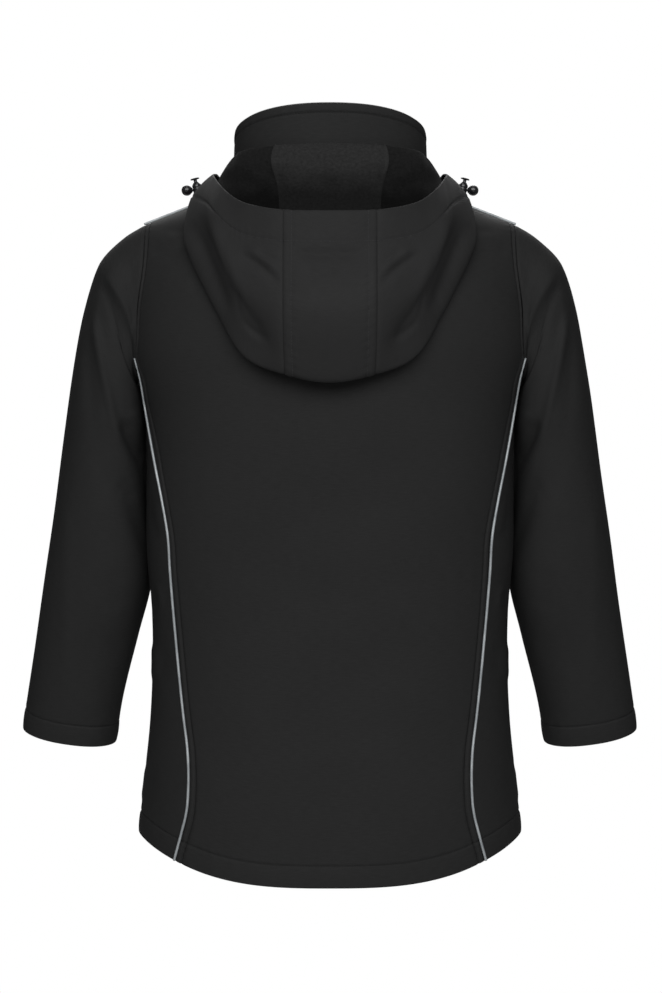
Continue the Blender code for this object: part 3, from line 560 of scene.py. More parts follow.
# Fine rows and columns
TORSO_ROWS = 150
ARMHOLE_ROWS = 60
FRONT_ARMHOLE_ROWS = 70
CENTRE_COLUMNS = 56
SIDE_COLUMNS = 30
FRONT_COLUMNS = 52
SLEEVE_ROWS = 170
SLEEVE_COLUMNS = 112
COLLAR_COLUMNS = 150
COLLAR_RISES = 20
HOOD_ROWS = (10, 14, 14, 16, 14, 40, 22, 26, 50)
HOOD_CENTRE_COLUMNS = 44
HOOD_SIDE_COLUMNS = 104
HOOD_CLOSE = (0.012, 0.025, 0.042)  # stations past the seam
SLEEVE_HEAD_SHARE = 0.012
SLEEVE_HEAD_ROWS = 8
# The length that rows or columns are spread over, and the stretches of it where they lie close
BACK_SPREAD = (240, ((0, 18),))
SIDE_SPREAD = (60, ((0, 4), (56, 60)))
FRONT_SPREAD = (250, ((0, 11), (238, 250)))
SLEEVE_SPREAD = (610, ((0, 4), (18, 30)))
COLLAR_SPREAD = (75, ((60, 75),))
HEM_FINE = ((0, 4), (17, 30))


# Curves and grids


def spline(keys, values, at):
    """A smooth curve through the values at the rising keys, read at other keys."""
    keys = np.asarray(keys, float)
    values = np.asarray(values, float)
    step = np.diff(keys)
    rise = np.diff(values) / step
    inner = (rise[:-1] * step[1:] + rise[1:] * step[:-1]) / (step[:-1] + step[1:])
    slope = np.concatenate([rise[:1], inner, rise[-1:]])
    i = np.clip(np.searchsorted(keys, at) - 1, 0, len(step) - 1)
    t = (at - keys[i]) / step[i]
    low = (2 * t**3 - 3 * t**2 + 1) * values[i] + (t**3 - 2 * t**2 + t) * step[i] * slope[i]
    return low + (3 * t**2 - 2 * t**3) * values[i + 1] + (t**3 - t**2) * step[i] * slope[i + 1]


def read(table, number, at):
    """A column of a table at heights between those in its first column."""
    columns = list(zip(*table))
    return spline(columns[0], columns[number], at)


def bent(value, exponent):
    """A power that keeps the sign."""
    return np.sign(value) * np.abs(value) ** exponent


def unit(vectors):
    return vectors / np.linalg.norm(vectors, axis=-1, keepdims=True)


def points(x, y, z):
    return np.stack(np.broadcast_arrays(x, y, z), axis=-1)


def ease(value, low, high):
    """A smooth step from 0 at the low value to 1 at the high one."""
    t = np.clip((value - low) / (high - low), 0, 1)
    return t * t * (3 - 2 * t)


def hump(distance, reach):
    """A smooth hump that is 1 in the middle and fades out past its reach."""
    return np.exp(-((distance / reach) ** 2))


def arc(grid, axis):
    """Distance along a grid's columns or rows from their first points."""
    step = np.linalg.norm(np.diff(grid, axis=axis), axis=-1)
    start = np.zeros_like(np.take(step, [0], axis=axis))
    return np.concatenate([start, np.cumsum(step, axis=axis)], axis=axis)


def lengths(line):
    """Distance along a line from its first point."""
    return arc(line[:, None], 0)[:, 0]


def points_at(keys, values, at, curve=spline):
    """The points, at other keys, of a curve through points at the rising keys."""
    return np.stack([curve(keys, values[:, i], at) for i in range(values.shape[1])], axis=-1)


def straight(keys, values, at):
    """Values between the keys, on straight lines."""
    return np.interp(at, keys, values)


def spread(count, length, fine):
    """Even shares of a length, with close ones over the fine stretches, given in millimetres."""
    even = np.linspace(0, 1, count)
    close = []
    for low, high in fine:
        close += list(np.arange(low, high + FINE_STEP / 2, FINE_STEP) / length)
        even = even[(even < low / length) | (even > high / length) | (even == 0) | (even == 1)]
    return np.unique(np.concatenate([even, np.clip(close, 0, 1)]))


def grid_normals(grid):
    """Normals at the points of a grid, each the middle of those of the faces round it."""
    down = grid[1:] - grid[:-1]
    across = grid[:, 1:] - grid[:, :-1]
    face = unit(np.cross(down[:, 1:] + down[:, :-1], across[1:] + across[:-1]))
    face = np.pad(face, ((1, 1), (1, 1), (0, 0)), mode="edge")
    return unit(face[1:, 1:] + face[1:, :-1] + face[:-1, 1:] + face[:-1, :-1])


def outward_normals(grid):
    """Normals of a grid that point away from the jacket's upright axis."""
    normal = grid_normals(grid)
    return normal * np.sign((normal * grid)[..., :2].sum())


def tube_normals(grid):
    """Normals of a grid that closes on itself across."""
    down = np.gradient(grid, axis=0)
    across = np.roll(grid, -1, axis=1) - np.roll(grid, 1, axis=1)
    return unit(np.cross(down, across))


def mirrored(grid):
    return grid * np.array([-1, 1, 1])


# Torso surface


def torso(height, face, inset):
    """Half width and depth of the torso's section; face is 1 for the back and -1 for the front."""
    return read(TORSO, 1, height) - inset, read(TORSO, 2 if face > 0 else 3, height) - inset


def section_angle(x, height):
    """The angle from the middle of the section at which it is x wide."""
    return np.arcsin(np.clip(x / read(TORSO, 1, height), -1, 1) ** (SECTION_POWER / 2))


def section(height, angle, face, inset):
    half_width, depth = torso(height, face, inset)
    x = half_width * bent(np.sin(angle), 2 / SECTION_POWER)
    y = face * depth * bent(np.cos(angle), 2 / SECTION_POWER)
    return x, y


def hem_height(angle, face):
    drop = BACK_HEM_DROP if face > 0 else FRONT_HEM_DROP
    share = np.abs(np.sin(angle)) ** (2 * HEM_CURVE_POWER / SECTION_POWER)
    return SIDE_HEM_Z - drop * (1 - share)


def neckline(x, face, inset):
    """Depth and height of the neckline at x from the middle."""
    share = np.clip(1 - np.clip(np.abs(x) / NECK_HALF, 0, 1) ** NECK_POWER, 0, 1) ** (1 / NECK_POWER)
    depth = NECK_BACK if face > 0 else NECK_FRONT
    middle = NECK_BACK_Z if face > 0 else NECK_FRONT_Z
    height = NECK_SIDE_Z + (middle - NECK_SIDE_Z) * share**NECK_CURVE_POWER
    return face * (depth - inset) * share, height - inset


def top_line(x, face, inset):
    """The neckline, and past its end the shoulder seam."""
    depth, height = neckline(x, face, inset)
    slope = (SHOULDER_Z - NECK_SIDE_Z) / (SHOULDER_X - NECK_HALF)
    past = np.maximum(np.abs(x) - NECK_HALF, 0)
    return depth, height + slope * past


def upper_torso(base, edge_height, angle, top_angle, face, inset):
    """Rows that round over from the base height to the neckline and the shoulder seam."""
    share = (edge_height - base) / (SHOULDER_Z - base)
    x, y = section(edge_height, angle, face, inset)
    top_x, _ = section(SHOULDER_Z, top_angle, face, 0)
    top_y, top_z = top_line(top_x, face, inset)
    out = np.clip(np.abs(top_x) / NECK_HALF, 0, 1)
    roundness = ROUND_AT_NECK + (ROUND_AT_SHOULDER - ROUND_AT_NECK) * out**2 * (3 - 2 * out)
    keep = np.clip(1 - share**SHOULDER_RISE_POWER, 0, 1) ** (1 / roundness)
    return points(x, top_y + (y - top_y) * keep, base + share * (top_z - base))


def armhole_height(step):
    middle = (SHOULDER_Z + UNDERARM_Z) / 2
    return middle + (SHOULDER_Z - middle) * np.cos(2 * np.pi * np.asarray(step) / ARM_STEPS)


def armhole_angle(step):
    """The section angle of the armhole's edge at a step round it."""
    step = np.asarray(step, float)
    height = armhole_height(step)
    back = section_angle(read(ARMHOLE_BACK, 1, height), height)
    ahead = section_angle(read(ARMHOLE_FRONT, 1, height), height)
    join = section_angle(ARMHOLE_FRONT[0][1], ARMHOLE_FRONT[0][0])
    low = np.pi / 2 + (join - np.pi / 2) * (step - UNDERARM_STEP) / (FRONT_JOIN_STEP - UNDERARM_STEP)
    return np.where(step <= JOIN_STEP, back, np.where(step < FRONT_JOIN_STEP, low, ahead))


JOIN_Z = float(armhole_height(JOIN_STEP))
TOP_ANGLE = float(section_angle(SHOULDER_X, SHOULDER_Z))
COLLAR_END = math.asin((ZIP_HALF / NECK_HALF) ** (NECK_POWER / 2))


def princess_angle(height):
    return section_angle(read(PRINCESS, 1, height), height)


def lower_torso(rise, top, angle_at, face, inset):
    """Rows from the hem up to the top height; angle_at gives a row's section angles from its heights."""
    height = np.broadcast_to(top, np.broadcast_shapes(np.shape(rise), np.shape(top)))
    for _ in range(HEM_ROUNDS):
        hem = hem_height(angle_at(height), face)
        height = hem + rise * (top - hem)
    x, y = section(height, angle_at(height), face, inset)
    return points(x, y, height)


def back_centre(across, rises, arm_steps, inset):
    """The centre back, by shares from -1 to 1 across it, from the hem to the neckline and shoulders."""
    across = np.asarray(across)[None, :]
    low = lower_torso(np.asarray(rises)[:, None], JOIN_Z, lambda z: across * princess_angle(z), 1, inset)
    steps = np.asarray(arm_steps)[:, None]
    edge = armhole_height(steps)
    high = upper_torso(JOIN_Z, edge, across * armhole_angle(steps), across * TOP_ANGLE, 1, inset)
    return np.concatenate([low, high])


def back_side(across, rises, inset):
    """The left side back, by shares from the princess seam to the side seam."""
    across = np.asarray(across)[None, :]
    top = armhole_height(JOIN_STEP + across * (UNDERARM_STEP - JOIN_STEP))

    def angle_at(height):
        seam = princess_angle(height)
        return seam + across * (np.pi / 2 - seam)

    return lower_torso(np.asarray(rises)[:, None], top, angle_at, 1, inset)


def front(across, rises, arm_steps, inset):
    """The left front, by shares from the zip to the side seam and armhole."""
    across = np.asarray(across)[None, :]

    def between(height, edge_angle):
        start = section_angle(ZIP_HALF, height)
        return start + across * (edge_angle - start)

    low = lower_torso(np.asarray(rises)[:, None], UNDERARM_Z, lambda z: between(z, np.pi / 2), -1, inset)
    steps = np.asarray(arm_steps)[:, None]
    edge = armhole_height(steps)
    high = upper_torso(
        UNDERARM_Z, edge, between(edge, armhole_angle(steps)), between(SHOULDER_Z, TOP_ANGLE), -1, inset
    )
    return np.concatenate([low, high])


# Sleeve, collar and hood surfaces


def armhole_ring(steps):
    """The left armhole's edge, from the shoulder round by the back, underarm and front."""
    steps = np.asarray(steps, float)
    back = back_centre([1], [], np.clip(steps, 0, JOIN_STEP), 0)[:, 0]
    under = (np.clip(steps, JOIN_STEP, UNDERARM_STEP) - JOIN_STEP) / (UNDERARM_STEP - JOIN_STEP)
    side = back_side(under, [1], 0)[0]
    ahead = front([1], [], np.clip(steps, UNDERARM_STEP, ARM_STEPS), 0)[:, 0]
    where = steps[:, None]
    return np.where(where <= JOIN_STEP, back, np.where(where < UNDERARM_STEP, side, ahead))


def sleeve_ring(row, turn):
    """One slanting oval of the sleeve; the turn starts at its outer side and goes round by the back."""
    outer_x, outer_z, inner_x, inner_z, middle_y, half_depth, drop = row
    out = bent(np.cos(turn), 2 / SLEEVE_POWER)
    back = bent(np.sin(turn), 2 / SLEEVE_POWER)
    x = (outer_x + inner_x) / 2 + out * (outer_x - inner_x) / 2
    z = (outer_z + inner_z) / 2 + out * (outer_z - inner_z) / 2 - drop * half_depth * back
    return points(x, middle_y + half_depth * back, z)


def fold_push(along, around, folds):
    """How far folds push the cloth out, each a soft ridge or trough on a line between two places."""
    push = np.zeros(np.broadcast_shapes(np.shape(along), np.shape(around)))
    for from_along, from_around, to_along, to_around, half_width, height in folds:
        run = np.array([to_along - from_along, to_around - from_around])
        length = run @ run
        share = ((along - from_along) * run[0] + (around - from_around) * run[1]) / length
        share = np.clip(share, 0, 1)
        off_along = along - from_along - share * run[0]
        off_around = around - from_around - share * run[1]
        near = np.exp(-(off_along**2 + off_around**2) / half_width**2)
        push += height * near * np.sin(np.pi * np.clip(share, FOLD_FADE, 1 - FOLD_FADE))
    return push


def sleeve(shares, steps):
    """The left sleeve, by shares from the armhole to the cuff and steps round it."""
    turn = 2 * np.pi * np.asarray(steps) / ARM_STEPS
    rings = [armhole_ring(steps)]
    rings += [sleeve_ring(row, turn) for row in SLEEVE]
    rings = np.array(rings)
    keys = np.linspace(0, 1, len(rings))
    flat = rings.reshape(len(rings), -1)
    grid = points_at(keys, flat, shares).reshape(len(shares), len(turn), 3)
    push = fold_push(shares[:, None], np.asarray(steps)[None, :] / ARM_STEPS, SLEEVE_FOLDS)
    return grid + tube_normals(grid) * push[..., None]


def collar(turns, rises, inset):
    """The stand collar, by turns from its left front end round by the back and by shares of its height."""
    turns = np.asarray(turns)[None, :]
    rises = np.asarray(rises)[:, None]
    side = bent(np.sin(turns), 2 / NECK_POWER)
    ahead = bent(np.cos(turns), 2 / NECK_POWER)
    base_depth = np.where(ahead > 0, NECK_FRONT, NECK_BACK) - inset
    top_depth = np.where(ahead > 0, COLLAR_TOP_FRONT, COLLAR_TOP_BACK) - inset
    share = np.abs(ahead)
    middle_z = np.where(ahead > 0, NECK_FRONT_Z, NECK_BACK_Z)
    base_z = NECK_SIDE_Z + (middle_z - NECK_SIDE_Z) * share**NECK_CURVE_POWER
    slope = np.where(ahead > 0, -COLLAR_TOP_FRONT_FALL, COLLAR_TOP_BACK_RISE)
    top_z = COLLAR_TOP_SIDE_Z + slope * share * np.where(ahead > 0, COLLAR_TOP_FRONT, COLLAR_TOP_BACK)
    x = side * (NECK_HALF - inset + rises * (COLLAR_TOP_HALF - NECK_HALF))
    y = -ahead * (base_depth + rises * (top_depth - base_depth))
    return points(x, y, base_z + COLLAR_LIFT + rises * (top_z - base_z))


def hood_lines(stations):
    """The lines that shape the hood at the stations, from its neck edge over the fold and on to its rim."""
    keys = np.arange(len(HOOD_STATIONS))
    mirror_keys = np.arange(-1, len(HOOD_STATIONS))

    def along(values):
        values = np.asarray(values, float)
        values = np.concatenate([mirrored(values[1:2]), values])
        return points_at(mirror_keys, values, stations)

    columns = [spline(keys, values, stations)[:, None] for values in zip(*HOOD_STATIONS)]
    turn, reach, share, depth = columns
    neck = collar(np.pi - np.radians(turn[:, 0]), [0], -HOOD_NECK_GAP)[0]
    neck[:, 2] += HOOD_NECK_LIFT
    fold = along(HOOD_FOLD)
    inner = along(HOOD_INNER)
    outward = unit((fold - neck) * np.array([1, 1, 0]))
    past = fold + (inner - fold) * share + outward * reach - np.array([0, 0, 1]) * reach
    hollow = past + (inner - past) * HOOD_HOLLOW_SHARE - outward * depth
    part = neck + (fold - neck) * np.array(HOOD_PART_SHARE)
    outside = [along(table) for table in (HOOD_BOTTOM, HOOD_VALLEY, HOOD_OUTER, HOOD_RIM)]
    return [neck, part, fold, past, hollow, inner] + outside


def hood(stations, rows):
    """The hood's fleece side, by stations from the middle round to the left and rows from neck to rim."""
    lines = np.array(hood_lines(np.asarray(stations, float)))
    grid = []
    for line in lines.transpose(1, 0, 2):
        keys = np.concatenate([[0], np.cumsum(np.sqrt(np.linalg.norm(np.diff(line, axis=0), axis=1)))])
        at = np.concatenate(
            [np.linspace(keys[i], keys[i + 1], n, endpoint=False) for i, n in enumerate(rows)] + [keys[-1:]]
        )
        grid.append(points_at(keys, line, at))
    return np.array(grid).transpose(1, 0, 2)


# Materials


def new_material(name, colour, roughness, metallic=0.0, specular=0.5, sheen=0.0):
    """A material with its constants on the shader, and the node tree to add to."""
    made = bpy.data.materials.new(name)
    made.use_nodes = True
    shader = made.node_tree.nodes["Principled BSDF"]
    values = {"Base Color": (*colour, 1), "Roughness": roughness, "Metallic": metallic}
    values |= {"Specular IOR Level": specular, "Sheen Weight": sheen, "Sheen Roughness": SHEEN_ROUGHNESS}
    for socket, value in values.items():
        shader.inputs[socket].default_value = value
    made.diffuse_color = (*colour, 1)
    return made, made.node_tree, shader


def added(tree, kind, values=None, sources=None, **settings):
    """A new shader node with its settings, and its inputs' values and sources."""
    made = tree.nodes.new(f"ShaderNode{kind}")
    for name, value in settings.items():
        setattr(made, name, value)
    for name, value in (values or {}).items():
        made.inputs[name].default_value = value
    for name, source in (sources or {}).items():
        tree.links.new(source, made.inputs[name])
    return made


def coordinates(tree, kind):
    return added(tree, "TexCoord").outputs[kind]


def noise(tree, source, stretch, detail=2.0, rough=0.5):
    """Noise on coordinates stretched by three numbers, in cycles to the metre."""
    scale = added(tree, "VectorMath", {1: stretch}, {0: source}, operation="MULTIPLY")
    values = {"Scale": 1, "Detail": detail, "Roughness": rough}
    return added(tree, "TexNoise", values, {"Vector": scale.outputs[0]}).outputs["Fac"]


def grain(tree, cycles, detail):
    """Noise in a piece's own space, as fine every way."""
    return noise(tree, coordinates(tree, "Object"), (cycles, cycles, cycles), detail)


def tint(tree, source, dark, light, low=NOISE_LOW, high=NOISE_HIGH):
    """Noise as a colour from a dark one at its low value to a light one at its high value."""
    made = added(tree, "ValToRGB", sources={"Fac": source})
    for mark, place, colour in zip(made.color_ramp.elements, (low, high), (dark, light)):
        mark.position = place
        mark.color = (*colour, 1)
    return made.outputs["Color"]


def mapped(tree, source, start, end, low, high, **settings):
    """A value mapped from one range to another."""
    values = {"From Min": start, "From Max": end, "To Min": low, "To Max": high}
    return added(tree, "MapRange", values, {"Value": source}, **settings).outputs["Result"]


def vary_roughness(tree, shader, source, low, high):
    tree.links.new(mapped(tree, source, NOISE_LOW, NOISE_HIGH, low, high), shader.inputs["Roughness"])


def bump(tree, shader, heights):
    """A chain of bumps: source, strength and depth in metres of each."""
    before = {}
    for source, strength, depth in heights:
        values = {"Strength": strength, "Distance": depth}
        last = added(tree, "Bump", values, {"Height": source, **before}).outputs["Normal"]
        before = {"Normal": last}
    tree.links.new(last, shader.inputs["Normal"])


def shell_material(name, dark, light):
    """Matt softshell: a close weave with fine level ribs, nearly black."""
    made, tree, shader = new_material(name, light, roughness=0.72, specular=0.07)
    place = coordinates(tree, "UV")
    rib = noise(tree, place, (90, 760, 1), detail=3, rough=0.6)
    weave = noise(tree, place, (1500, 1500, 1), detail=1)
    broad = noise(tree, place, (9, 14, 1), detail=2)
    tree.links.new(tint(tree, rib, dark, light), shader.inputs["Base Color"])
    vary_roughness(tree, shader, broad, 0.64, 0.8)
    bump(tree, shader, ((rib, 0.2, 0.0003), (weave, 0.25, 0.0002)))
    return made


def painted_shade_colour(tree, place, colour, start, end, pale):
    """A colour made paler from the low edge up to a soft uneven line; past it the colour stays dark as
    painted shade.
    """
    apart = added(tree, "SeparateXYZ", sources={0: place})
    patches = noise(tree, place, (34, 26, 1), detail=2)
    sources = {0: patches, 2: apart.outputs["Y"]}
    uneven = added(tree, "Math", {1: PAINTED_SHADE_UNEVEN}, sources, operation="MULTIPLY_ADD").outputs[0]
    share = mapped(tree, uneven, start, end, pale, 1, interpolation_type="SMOOTHSTEP")
    return added(tree, "VectorMath", sources={0: colour, "Scale": share}, operation="SCALE").outputs[0]


def fleece_material(name, dark, light, painted_shade=None):
    """The brushed fleece on the cloth's inside; one with painted shade is paler near the cut's low edge and
    stays dark further in, as painted shade.
    """
    made, tree, shader = new_material(name, light, roughness=0.95, specular=0.02, sheen=FLEECE_SHEEN)
    place = coordinates(tree, "UV")
    nap = noise(tree, place, (900, 900, 1), detail=3, rough=0.7)
    tufts = noise(tree, place, (260, 340, 1), detail=4, rough=0.7)
    colour = tint(tree, tufts, dark, light, high=0.72)
    if painted_shade:
        colour = painted_shade_colour(tree, place, colour, *painted_shade)
    tree.links.new(colour, shader.inputs["Base Color"])
    bump(tree, shader, ((tufts, 0.25, 0.0006), (nap, 0.6, 0.0005)))
    return made


def piping_material():
    """Grey reflective piping: fine glass beads in a flat film."""
    made, tree, shader = new_material("piping", (0.27, 0.29, 0.30), roughness=0.42, metallic=0.25)
    dark, light = (0.20, 0.215, 0.225), (0.34, 0.36, 0.37)
    tree.links.new(tint(tree, grain(tree, 45, 2), dark, light), shader.inputs["Base Color"])
    bump(tree, shader, ((grain(tree, 2600, 1), 0.25, 0.0002),))
    return made


def plastic_material(name, colour, roughness):
    """Moulded plastic with a fine grain."""
    made, tree, shader = new_material(name, colour, roughness)
    fine = grain(tree, 1800, 2)
    vary_roughness(tree, shader, fine, roughness - 0.05, roughness + 0.08)
    bump(tree, shader, ((fine, 0.08, 0.0001),))
    return made


def metal_material():
    """Black lacquered zip metal."""
    made, tree, shader = new_material("zip_metal", (0.03, 0.03, 0.032), roughness=0.35, metallic=0.8)
    wear = grain(tree, 700, 3)
    vary_roughness(tree, shader, wear, 0.26, 0.45)
    dark, light = (0.02, 0.02, 0.022), (0.05, 0.05, 0.053)
    tree.links.new(tint(tree, wear, dark, light, 0.35, 0.75), shader.inputs["Base Color"])
    return made


def yarn_material(name, dark, light):
    """Thread or cord: short fibres that catch the light."""
    made, tree, shader = new_material(name, light, roughness=0.6, specular=0.2)
    fibre = grain(tree, 1500, 2)
    tree.links.new(tint(tree, fibre, dark, light), shader.inputs["Base Color"])
    bump(tree, shader, ((fibre, 0.3, 0.0002),))
    return made


SHELL = shell_material("shell", (0.0130, 0.0131, 0.0131), (0.0166, 0.0167, 0.0167))
# The hood's shell is the same cloth painted lighter, as painted light on the hood
HOOD_SHELL_PAINTED_LIGHT = shell_material("hood_shell_painted_light", (0.0146, 0.0146, 0.0147), (0.0184, 0.0184, 0.0185))
FLEECE = fleece_material("fleece", (0.011, 0.011, 0.0115), (0.020, 0.020, 0.0205))
# Darker copies of the fleece as painted shade deep in the hood: the centre panel's, and darkest the side
# panels' in the hood's corners
HOOD_FLEECE_PAINTED_SHADE = fleece_material("hood_fleece_painted_shade", (0.005, 0.005, 0.005), (0.009, 0.009, 0.009), HOOD_PAINTED_SHADE_RAMP)
SIDE_FLEECE_PAINTED_SHADE = fleece_material("side_fleece_painted_shade", (0.002, 0.002, 0.002), (0.0042, 0.0042, 0.0042), SIDE_PAINTED_SHADE_RAMP)
PIPING = piping_material()
PLASTIC = plastic_material("cord_plastic", (0.008, 0.008, 0.009), 0.22)
METAL = metal_material()
# The black thread, painted darker than the cloth as painted shade along the stitching's groove
THREAD_AND_PAINTED_SHADE = yarn_material("thread", (0.0015, 0.0015, 0.0016), (0.005, 0.005, 0.0052))
# The same thread on the hood, painted paler as painted highlights on its stitches
HOOD_THREAD_PAINTED_HIGHLIGHT = yarn_material("hood_thread_painted_highlight", (0.010, 0.010, 0.011), (0.036, 0.036, 0.037))
YARN = yarn_material("cord_yarn", (0.010, 0.010, 0.011), (0.024, 0.024, 0.026))
TAPE = yarn_material("zip_tape", (0.010, 0.010, 0.011), (0.018, 0.018, 0.019))


# Pieces


def place_piece(name, mesh, materials, node=None, slot="shell_cloth", body="jacket"):
    """Link a mesh as a piece that rides on a body, standing for a node whose part it hides; slot is not used.
    """
    for made in materials:
        mesh.materials.append(made)
    item = bpy.data.objects.new(name, mesh)
    bpy.context.scene.collection.objects.link(item)
    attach(item, body)
    if node:
        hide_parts(node)
    return item


def mesh_from(name, vertices, faces):
    """A smooth mesh from points in millimetres and faces."""
    mesh = bpy.data.meshes.new(name)
    mesh.from_pydata((np.asarray(vertices) * MM).tolist(), [], [list(face) for face in faces])
    mesh.polygons.foreach_set("use_smooth", [True] * len(mesh.polygons))
    mesh.update()
    return mesh


class Shell:
    """One cut piece of cloth: its outside as a grid of points, pushed out and in by folds and sewing."""

    def __init__(self, base, normal, cloth=CLOTH, closed=False):
        self.base = base
        self.normal = normal
        self.closed = closed
        self.up = arc(base, 0)
        ring = np.concatenate([base, base[:, :1]], axis=1) if closed else base
        self.over = arc(ring, 1)
        self.push = np.zeros(base.shape[:2])
        self.cloth = np.full(base.shape[:2], float(cloth))

    def away(self, edge):
        """Distance of each point from an edge of the cut."""
        if edge == "low":
            return self.up
        if edge == "high":
            return self.up[-1:] - self.up
        if edge == "start":
            return self.over[:, : self.base.shape[1]]
        return self.over[:, -1:] - self.over[:, : self.base.shape[1]]

    def seam(self, edge, dip=SEAM_DIP):
        """The cloth turns in at a seam."""
        self.push -= dip * hump(self.away(edge), SEAM_WIDTH)

    def stitched(self, edge, distance, puff=SEAM_PUFF, thicker=0.0, dip=STITCH_DIP):
        """A row of stitching along an edge, with the cloth puffed between them and puckered along it."""
        away = self.away(edge)
        along = self.up if edge in ("start", "end") else self.over[:, : self.base.shape[1]]
        share = np.clip(away / distance, 0, 1)
        self.push += puff * np.sin(np.pi * share) ** PUFF_POWER * (share < 1)
        self.push -= dip * hump(away - distance, STITCH_WIDTH)
        phase = 2 * np.pi * along / PUCKER_PITCH
        for drift, length in PUCKER_DRIFT:
            phase = phase + drift * np.sin(along / length)
        self.push += PUCKER * np.sin(phase) * hump(away - distance, PUCKER_REACH)
        self.cloth += thicker * (1 - ease(away, distance - TURN_REACH, distance + TURN_REACH))

    def folds(self, table, face, reach=FACING):
        """Folds of the cloth that faces the back or the front, on both sides of the jacket."""
        facing = ease(face * self.normal[..., 1], *reach)
        x, z = self.base[..., 0], self.base[..., 2]
        for from_x, from_z, to_x, to_z, bow, width, depth, right in table:
            for side, share in ((1, 1.0), (-1, right)):
                self.push += depth * share * facing * fold_near(
                    side * x, z, (from_x, from_z), (to_x, to_z), bow, width
                )
                if to_x < 0:
                    break

    def sway(self, depth, pitch):
        """A broad unevenness of the cloth."""
        x, y, z = np.moveaxis(self.base, -1, 0) / pitch
        total = 0
        for share, *pair in SWAY_WAVES:
            one, two = [np.sin(a * x + b * y + c * z + start) for a, b, c, start in pair]
            total = total + share * one * two
        self.push += depth * total

    def fade(self, edge, reach):
        """Take the push down to nothing towards an edge."""
        self.push *= ease(self.away(edge), 0, reach)

    def finish(self):
        self.outside = self.base + self.normal * self.push[..., None]
        self.inside = self.outside - self.normal * self.cloth[..., None]

    def line(self, edge, distance):
        """The points and normals of a line on the outside at a distance from an edge."""
        turned = edge in ("low", "high")
        away, grid, normal = self.away(edge), self.outside, self.normal
        if turned:
            away, grid, normal = away.T, grid.transpose(1, 0, 2), normal.transpose(1, 0, 2)
        wanted = np.broadcast_to(np.ravel(distance), (len(away),))
        way = slice(None, None, -1) if edge in ("end", "high") else slice(None)
        places, faces = [], []
        for number, want in enumerate(wanted):
            keys = away[number][way]
            places.append(points_at(keys, grid[number][way], want, straight))
            faces.append(points_at(keys, normal[number][way], want, straight))
        return np.array(places), unit(np.array(faces))


def fold_near(x, z, start, end, bow, width):
    """How near points lie to a bowed line, from 0 to 1, fading towards its ends."""
    start, end = np.array(start, float), np.array(end, float)
    run = end - start
    length = np.linalg.norm(run)
    run = run / length
    along = (x - start[0]) * run[0] + (z - start[1]) * run[1]
    off = -(x - start[0]) * run[1] + (z - start[1]) * run[0]
    share = along / length
    inside = np.clip(share, 0, 1)
    off = off - 4 * bow * inside * (1 - inside)
    past = (share - inside) * length
    fade = ease(1 - np.abs(2 * inside - 1), 0, FOLD_ENDS)
    return np.exp(-(off**2 + past**2) / width**2) * fade


def border(rows, columns, closed):
    """The edge loops of a grid, as flat indices, and the step from each back into the grid."""
    index = np.arange(rows * columns).reshape(rows, columns)
    if closed:
        return [(index[0], index[1]), (index[-1][::-1], index[-2][::-1])]
    loop = [index[0, :-1], index[:-1, -1], index[-1, :0:-1], index[:0:-1, 0]]
    back = [index[1, :-1], index[:-1, -2], index[-2, :0:-1], index[:0:-1, 1]]
    return [(np.concatenate(loop), np.concatenate(back))]


def shell_mesh(name, shell, rounded):
    """The closed mesh of a cloth shell, its inside faces with the second material, its edges rounded."""
    rows, columns = shell.base.shape[:2]
    count = rows * columns
    wide = columns if shell.closed else columns - 1
    row, col = np.meshgrid(np.arange(rows - 1), np.arange(wide), indexing="ij")
    nxt = (col + 1) % columns
    quad = [(row, col), (row, nxt), (row + 1, nxt), (row + 1, col)]
    outer = np.stack([(r * columns + c).ravel() for r, c in quad], axis=1)
    up = np.broadcast_to(shell.up[:, :1], shell.over.shape) if shell.closed else shell.up
    texture = np.stack([shell.over - shell.over[:, -1:] / 2, up], axis=-1)
    uv_columns = texture.shape[1]
    uv_quad = [(row, col), (row, col + 1), (row + 1, col + 1), (row + 1, col)]
    uv_index = np.stack([(r * uv_columns + c).ravel() for r, c in uv_quad], axis=1)
    flat_uv = texture.reshape(-1, 2) * MM
    point_uv = texture[:, :columns].reshape(-1, 2) * MM
    outside = shell.outside.reshape(-1, 3)
    inside = shell.inside.reshape(-1, 3)
    vertices = [outside, inside]
    faces = [outer, outer[:, ::-1] + count]
    uvs = [flat_uv[uv_index], flat_uv[uv_index[:, ::-1]]]
    kinds = [np.zeros(len(outer), int), np.ones(len(outer), int)]
    start = 2 * count
    for loop, back in border(rows, columns, shell.closed):
        away = unit(outside[loop] - outside[back])
        thick = np.linalg.norm(outside[loop] - inside[loop], axis=1, keepdims=True)
        vertices.append((outside[loop] + inside[loop]) / 2 + away * thick * rounded)
        middle = start + np.arange(len(loop))
        start += len(loop)
        after = np.roll(loop, -1)
        middle_after = np.roll(middle, -1)
        faces.append(np.stack([after, loop, middle, middle_after], axis=1))
        faces.append(np.stack([middle_after, middle, loop + count, after + count], axis=1))
        edge_uv = np.stack([point_uv[i] for i in (after, loop, loop, after)], axis=1)
        uvs += [edge_uv, edge_uv]
        kinds += [np.zeros(len(loop), int)] * 2
    vertices = np.concatenate(vertices)
    faces = np.concatenate(faces)
    uvs = np.concatenate(uvs)
    middle = faces[len(outer) // 2 + wide // 2]
    a, b, d = vertices[middle[0]], vertices[middle[1]], vertices[middle[3]]
    if np.dot(np.cross(b - a, d - a), shell.normal.reshape(-1, 3)[middle[0]]) < 0:
        faces = faces[:, ::-1]
        uvs = uvs[:, ::-1]
    mesh = mesh_from(name, vertices, faces)
    layer = mesh.uv_layers.new(name="cut")
    layer.uv.foreach_set("vector", uvs.ravel())
    mesh.polygons.foreach_set("material_index", np.concatenate(kinds))
    return mesh


